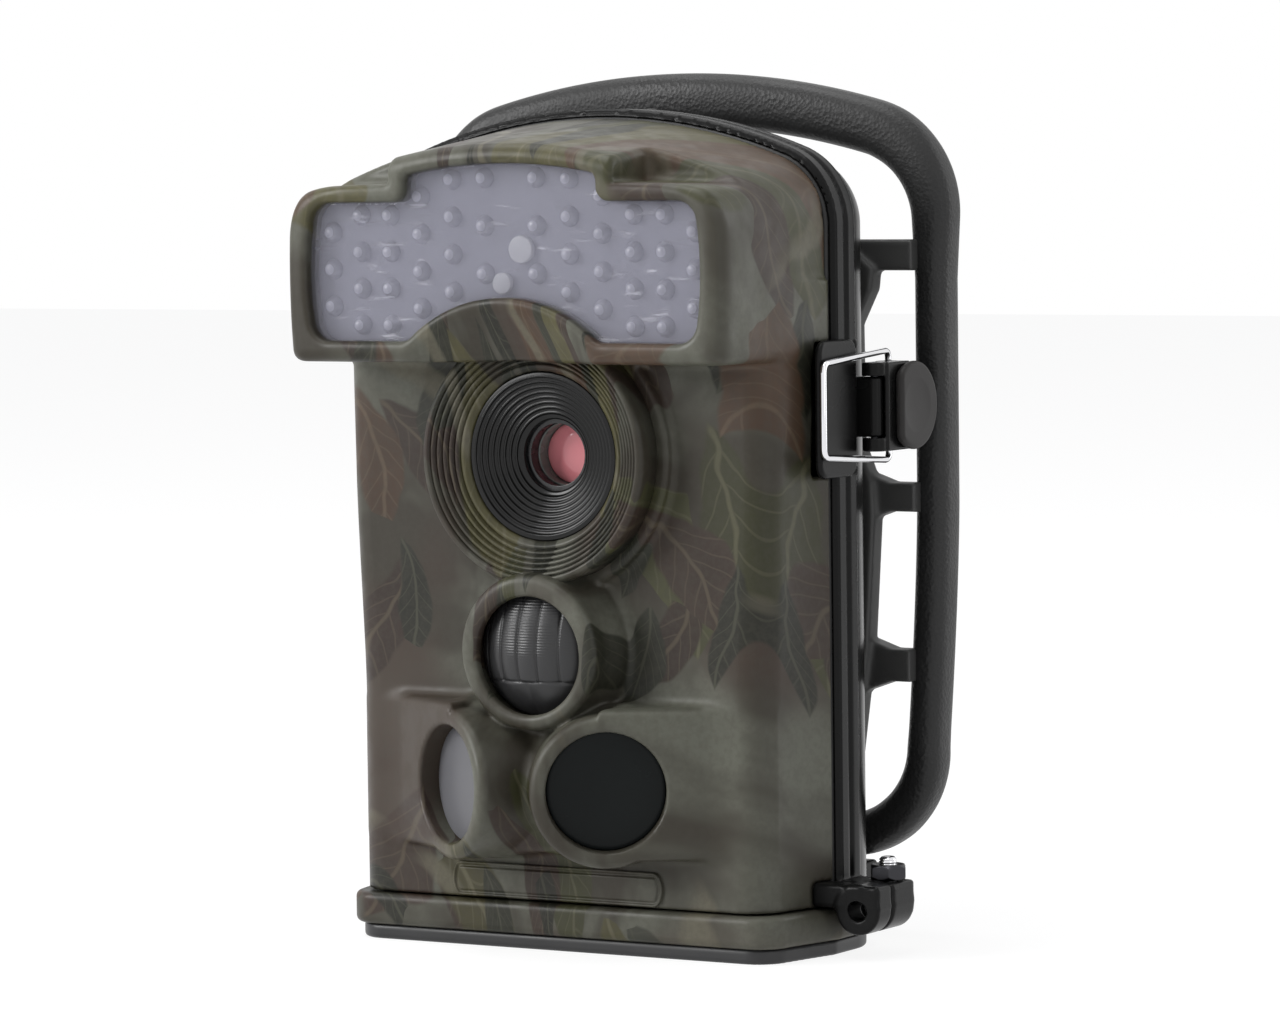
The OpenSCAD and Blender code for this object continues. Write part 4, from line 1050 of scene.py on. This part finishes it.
def hoop_line(steps=26):
    """Right half of the hoop's centre line from the crown to the bottom, then the left half."""
    reach = HOOP_CROWN - HOOP_CORNER
    corner_x = HOOP_HALF - HOOP_CORNER
    rise = math.sqrt(reach ** 2 - corner_x ** 2)
    corner_z = HOOP_TOP - HOOP_CROWN + rise
    turn = math.atan2(rise, corner_x)
    right = []
    for i in range(steps):
        a = math.pi / 2 - (math.pi / 2 - turn) * i / steps
        right.append((HOOP_CROWN * math.cos(a), HOOP_TOP - HOOP_CROWN + HOOP_CROWN * math.sin(a)))
    for i in range(steps):
        a = turn * (1 - i / steps)
        right.append((corner_x + HOOP_CORNER * math.cos(a), corner_z + HOOP_CORNER * math.sin(a)))
    for i in range(steps):
        z = corner_z + (HOOP_LOW_Z - corner_z) * i / steps
        draw = max(0, (HOOP_WAIST - z) / (HOOP_WAIST - HOOP_LOW_Z)) ** 1.5
        right.append((HOOP_HALF - (HOOP_HALF - HOOP_LOW_HALF) * draw, z))
    for i in range(steps + 1):
        a = -math.pi / 2 * i / steps
        right.append((HOOP_LOW_HALF - HOOP_FOOT + HOOP_FOOT * math.cos(a),
                      HOOP_LOW_Z + HOOP_FOOT * math.sin(a)))
    left = [(-x, z) for x, z in right[1:]]
    return right + left[::-1]


def strap_hoop():
    """Moulded loop with a flattened oval section, thicker over the crown."""
    line, sides, power = hoop_line(), 40, 0.72
    verts = []
    for i, (x, z) in enumerate(line):
        before, after = line[i - 1], line[(i + 1) % len(line)]
        ax, az = after[0] - before[0], after[1] - before[1]
        length = math.hypot(ax, az)
        out_x, out_z = -az / length, ax / length
        thick = 3.1 + 1.6 * min(1, max(0, (z - 112) / 24)) + 0.65 * min(1, max(0, (34 - z) / 14))
        for a in circle(sides):
            c, s = math.cos(a), math.sin(a)
            t = thick * math.copysign(abs(c) ** power, c)
            depth = 3.95 * math.copysign(abs(s) ** power, s)
            verts.append((x + out_x * t, HOOP_Y + depth, z + out_z * t))
    piece = weld(make_mesh("strap_loop", verts, strips(neighbours(len(line)), sides)))
    place(piece, "housing", "textured_black", "bracket_hoop")


# right-hand points of the plate's edge, then low z, high z and reach of each rung
PLATE_EDGE = ((34, 118.4), (39.8, 113.6), (39.4, 110), (36.4, 104), (36.6, 84), (39.3, 77.3),
              (39.6, 71.7), (38.2, 49), (37.2, 42), (35.2, 27), (32.4, 21), (28, 17.6))
RUNGS = ((113.2, 118.4, 46.6), (72.4, 77.3, 46.8), (43.5, 49, 45.6))


def plate_outline(x, z):
    """Field of the back plate's outline, from its right-hand points."""
    widths, heights = zip(*PLATE_EDGE[::-1])
    edge = np.interp(z.ravel(), heights, widths).reshape(z.shape)
    return cut_round((np.abs(x) - edge) * 0.9, slab(z, heights[0], heights[-1]), 1.0)


def back_plate():
    """Back plate with its rungs, screw bosses and ribs."""
    def field(x, y, z):
        plate = cut_round(plate_outline(x, z), slab(y, PLATE_LOW[1] + 0.2, 26.6), 0.6)
        for low_z, high_z, reach in RUNGS:
            slant = (0.35 if low_z < 100 else 0) * np.maximum(0, 42 - np.abs(x))
            rung = cut_round(slab(z, low_z, high_z) - slant, slab(y, 23.8, 28.2), 0.6)
            rung = np.maximum(rung, slab(np.abs(x), 33, reach))
            plate = join_round(plate, rung, 0.8)
        for screw_x, screw_z in itertools.product((-24, 24), (30, 106)):
            radius = np.hypot(x - screw_x, z - screw_z)
            boss = cut_round(radius - 4, slab(y, PLATE_LOW[1], 27.6), 0.4)
            plate = join_round(plate, boss, 0.6)
            plate = np.maximum(plate, -np.maximum(radius - 2.9, 26.2 - y))
        # ribs across the back
        for level in (36, 62, 90):
            rib = cut_round(np.abs(z - level) - 0.9, slab(y, 25, 27.6), 0.5)
            rib = np.maximum(rib, np.abs(x) - 30)
            plate = join_round(plate, rib, 0.8)
        return plate

    piece = solid("strap_plate", field, PLATE_LOW, (47, PLATE_HIGH[1], PLATE_HIGH[2] + 0.4), 0.5)
    place(piece, "housing", "matte_grey", "bracket_plate")


# ---------------------------------------------------------------- latch and fastenings

def lever_field(x, y, z):
    """Latch lever: two eyes in one body, with room for the housing's lug between them."""
    tall = np.abs(z - LATCH_Z) - LEVER_HALF
    low_z, high_z = LATCH_Z - LEVER_HALF, LATCH_Z + LEVER_HALF
    outer = LEVER_X + 2.5
    eye = np.hypot(x - LEVER_X, y - LEVER_Y)
    rear_eye = np.hypot(x - BAIL_X, y - BAIL_Y)
    body = np.minimum(cut_round(eye - 2.1, tall, 0.35), cut_round(rear_eye - 1.9, tall, 0.35))
    body = np.minimum(body, box(x, y, z, (LEVER_X - 1.9, LEVER_Y, low_z), (outer, 15, high_z), 0.5))
    body = np.minimum(body, box(x, y, z, (LEVER_X + 1.2, LEVER_Y, low_z), (outer, 16.5, high_z), 0.5))
    body = np.minimum(body, box(x, y, z, (BAIL_X - 1.9, 12.4, low_z), (outer, 16.4, high_z), 0.6))
    low_z, high_z = LATCH_Z - ROOM_HALF, LATCH_Z + ROOM_HALF
    room = box(x, y, z, (40, 0, low_z), (LEVER_X + 1.8, 12.4, high_z), 0.2)
    room = np.minimum(room, box(x, y, z, (40, 0, low_z), (LEVER_X + 3, LEVER_Y, high_z), 0.1))
    body = np.maximum(cut_round(body, -room, 0.2), 0.76 - eye)
    return np.maximum(body, -np.maximum(rear_eye - 0.71, 5.2 - np.abs(z - LATCH_Z)))


def tab_field(x, y, z):
    """Slightly dished thumb disc on the lever, with a straight front edge."""
    radius = np.hypot(y - TAB_HIGH[1] + TAB_R, z - LATCH_Z)
    outline = cut_round(radius - TAB_R, TAB_LOW[1] - y, 0.8)
    disc = cut_round(outline, slab(x, TAB_LOW[0], TAB_HIGH[0]), 0.7)
    dish = (np.hypot(radius * 0.2, x - TAB_HIGH[0] - 1.6) - 1.85) * 0.9
    return np.maximum(disc, -dish)


def latch_lever():
    """The lever and its thumb disc."""
    place(solid("latch_arm", lever_field, LEVER_LOW, LEVER_HIGH, 0.22), "lever_body", "black_gloss",
          "latch_lever")
    place(solid("grip_disc", tab_field, TAB_LOW, TAB_HIGH, 0.22), "lever_body", "satin_black", "thumb_tab")


def wire_loop():
    """Bent wire: its ends turn into the lever, its front bar lies over the catch."""
    front, pivot = Vector((*BAIL_FRONT, 0)), Vector((BAIL_X, BAIL_Y, 0))
    bend, steps, end_length = 1.5, 7, 3
    path = [Vector((BAIL_X, BAIL_Y, LATCH_Z - BAIL_HALF + end_length))]
    for sign in (-1, 1):
        level = Vector((0, 0, LATCH_Z + sign * BAIL_HALF))
        root = pivot + level + Vector((0, 0, sign * BAIL_SPREAD))
        corner = front + level
        along = (corner - root).normalized()
        inward = Vector((0, 0, -sign))
        near = bend_points(root + inward * bend, root, root + along * bend, steps)
        far = bend_points(corner - along * bend, corner, corner + inward * bend, steps)
        path += near + far if sign < 0 else far[::-1] + near[::-1]
    path.append(Vector((BAIL_X, BAIL_Y, LATCH_Z + BAIL_HALF - end_length)))
    place(sweep("latch_wire", path, WIRE_R, 20), "bail_body", "chrome", "wire_bail")


def upright(piece, x, y, z=0.0):
    """Stands a lathe piece, turned about Y, up along Z."""
    spot = Matrix.Translation((x * MM, y * MM, z * MM))
    piece.data.transform(spot @ Matrix.Rotation(math.radians(-90), 4, "X"))


def stud_and_nut():
    """Threaded stud on the rear lug, and the hexagon nut under its end."""
    low, high = node_box("tether_stud")
    radius = (high[0] - low[0]) / 2
    pitch, depth, chamfer = 0.5, 0.26, 0.4
    z = high[2] - chamfer
    points = [(0, high[2]), (radius - 0.45, high[2]), (radius - 0.05, z)]
    while z > low[2] + 0.6:
        points += [(radius, z - 0.1), (radius - depth, z - 0.25), (radius, z - 0.4)]
        z -= pitch
    points += [(radius, low[2]), (0, low[2])]
    piece = lathe("lock_stud", [(r, -level) for r, level in points], segments=48)
    upright(piece, STUD_X, STUD_Y)
    place(piece, "housing", "chrome", "tether_stud")
    low, high = node_box("tether_nut")
    apothem = 3.3 * math.cos(math.pi / 6)
    middle = (low[2] + high[2]) / 2

    def nut(x, y, z):
        dx, dy = x - STUD_X, y - STUD_Y
        a, b, c = (np.abs(dx * math.cos(t) + dy * math.sin(t)) - apothem
                   for t in (math.pi / 6, math.pi / 2, math.pi * 5 / 6))
        radius = np.hypot(dx, dy)
        field = cut_round(cut_round(cut_round(a, b, 0.12), c, 0.12), slab(z, low[2], high[2]), 0.15)
        slope = np.maximum(0, np.abs(z - middle) - 0.6) * 0.9
        cone = (radius - 3.0 + slope) * 0.74
        return np.maximum(np.maximum(field, cone - 0.25), 1.5 - radius)

    place(solid("stud_nut", nut, low, high, 0.16), "housing", "black_steel", "tether_nut")


def pins():
    """Hinge pins and lever pin with rounded ends."""
    hinge_spots = [(HINGE_X, HINGE_Y, z, 12.8) for z in HINGE_ZS]
    lever_spots = [(LEVER_X, LEVER_Y, LATCH_Z, 7.2)]
    for node, radius, finish, spots in (("hinge_pins", 0.8, "steel", hinge_spots),
                                        ("lever_pin", 0.7, "black_steel", lever_spots)):
        for i, (x, y, z, half) in enumerate(spots):
            profile = [(0, -z - half), (radius, -z - half), (radius, half - z), (0, half - z)]
            piece = lathe(f"{node}_{i}", rounded(profile, 0.25), segments=32)
            upright(piece, x, y)
            place(piece, "housing", "steel", *([] if i else [node]), finish=finish)


# ---------------------------------------------------------------- inside

def cells():
    """AA cells with a shrink-wrapped shoulder, a nub and a bare jacket."""
    low, high = node_box("batteries")
    tall, radius, next_row = 50.5, 7.1, 53
    pitch = (high[0] - low[0] - 2 * radius) / 3
    side = [(0, 0), (radius - 0.8, 0), (radius - 0.1, 0.25), (radius, 0.8)]
    shoulder = [(radius, 2.4), (radius - 0.25, 1.7), (radius - 1.0, 1.4)]
    nub = [(2.9, 1.35), (2.75, 1.1), (2.7, 0.25), (2.4, 0), (0, 0)]
    profile = side + [(r, tall - drop) for r, drop in shoulder + nub]
    for row, column in itertools.product(range(2), range(4)):
        piece = lathe(f"cell_{row}_{column}", [(r, -z) for r, z in profile], segments=64)
        upright(piece, low[0] + radius + column * pitch, (low[1] + high[1]) / 2, low[2] + row * next_row)
        nodes = [] if row or column else ["batteries"]
        place(piece, "housing", "battery_jacket", *nodes, finish="cell_jacket")


def keys():
    """Soft keys with a dished top; they keep the CAD keys' places."""
    for node in ("key_up", "key_down", "key_left", "key_right", "key_ok", "key_menu"):
        low, high = node_box(node)
        r, front, back = (high[0] - low[0]) / 2, low[1], high[1]
        profile = [(0, front), (r, front), (r, front + 0.6), (r - 0.9, front + 0.75), (r - 0.9, back - 0.7),
                   (r - 1.05, back - 0.25), (r - 1.5, back), (1.6, back - 0.15), (0, back - 0.3)]
        slot = "key_grey" if node in ("key_ok", "key_menu") else "key_rubber"
        place(lathe(node + "_cap", profile, axis_point(low, high), segments=64), node + "_body", slot, node)


def dress_cad():
    """The CAD pieces that stay get their slot's material."""
    slots = {s["node"]: s["material_slot"] for s in frame["record"]["subparts"]}
    for name, piece in frame["nodes"].items():
        for holder in piece.material_slots:
            holder.material = PAINTS[slots[name]]


# ---------------------------------------------------------------- studio

def add_object(name, data):
    """Object round some data, linked to the scene."""
    made = bpy.data.objects.new(name, data)
    bpy.context.scene.collection.objects.link(made)
    return made


def camera():
    """Camera at the photograph's place, angle and focal length."""
    data = bpy.data.cameras.new("view")
    data.sensor_width = 36.0
    data.lens = 160.3
    data.clip_start, data.clip_end = 0.05, 20
    turn, tip, roll = math.radians(30.5), math.radians(3.764), math.radians(-0.7)
    back = Vector((math.sin(turn) * math.cos(tip), -math.cos(turn) * math.cos(tip), math.sin(tip)))
    right = Vector((math.cos(turn), math.sin(turn), 0))
    up = back.cross(right)
    right, up = (right * math.cos(roll) + up * math.sin(roll), up * math.cos(roll) - right * math.sin(roll))
    pose = Matrix((right, up, back)).transposed().to_4x4()
    pose.translation = Vector((494.4, -827.3, 136.2)) * MM
    eye = add_object("view", data)
    eye.matrix_world = pose
    bpy.context.scene.camera = eye


def lamp(name, where, size, power):
    """Soft rectangular lamp that faces the object's middle."""
    data = bpy.data.lights.new(name, "AREA")
    data.shape = "RECTANGLE"
    data.size, data.size_y = size
    data.energy = power
    light = add_object(name, data)
    light.location = where
    light.rotation_euler = (Vector((0, 0, 0.07)) - Vector(where)).to_track_quat("-Z", "Y").to_euler()


def seen_directly(tree):
    """1 for camera, glossy and transmission rays."""
    rays = tree.put("LightPath").outputs
    seen = tree.math("MAXIMUM", rays["Is Camera Ray"], rays["Is Glossy Ray"])
    return tree.math("MAXIMUM", seen, rays["Is Transmission Ray"])


def studio():
    """White world and floor as the camera sees them, plain soft light on the object."""
    scene = bpy.context.scene
    scene.view_settings.view_transform = "Standard"
    scene.world = bpy.data.worlds.new("studio")
    scene.world.use_nodes = True
    world = Tree(scene.world.node_tree)
    ambient = world.fill(world.nodes["Background"], Color=(0.95, 0.96, 1.0, 1), Strength=0.30)
    white = world.put("Background", (1, 1, 1, 1), 1.0)
    blend = world.put("MixShader", seen_directly(world), ambient.outputs[0], white.outputs[0])
    world.fill(world.nodes["World Output"], Surface=blend.outputs[0])

    lamp("key", (-1.1, -1.1, 0.7), (0.8, 0.8), 19)
    lamp("fill", (1.2, -0.5, 0.5), (0.5, 1.2), 1.5)
    lamp("top", (-0.2, -0.1, 1.3), (1.2, 0.8), 9)
    lamp("rim", (0.9, 0.9, 0.5), (0.4, 1.2), 3)

    span = 3000
    corners = [(-span, -span, 0), (span, -span, 0), (span, span, 0), (-span, span, 0)]
    floor = make_mesh("floor", corners, [(0, 1, 2, 3)])
    skin = Paint("floor_white", (0.9, 0.9, 0.9), 0.9)
    glow = skin.put("Emission", None, 1.1)
    share = skin.math("MULTIPLY", seen_directly(skin), 0.8)
    lit = skin.put("MixShader", share, skin.shader.outputs[0], glow.outputs[0])
    skin.fill(skin.nodes["Material Output"], Surface=lit.outputs[0])
    floor.data.materials.append(skin.material)


for build in (camera, studio, dress_cad, front_shell, name_plate, lens_parts, flash_window, diodes, pir_dome,
              side_windows, catch_plate, front_lug, door_knuckles, rear_housing, foot_parts, strap_hoop,
              back_plate, latch_lever, wire_loop, stud_and_nut, pins, cells, keys):
    build()
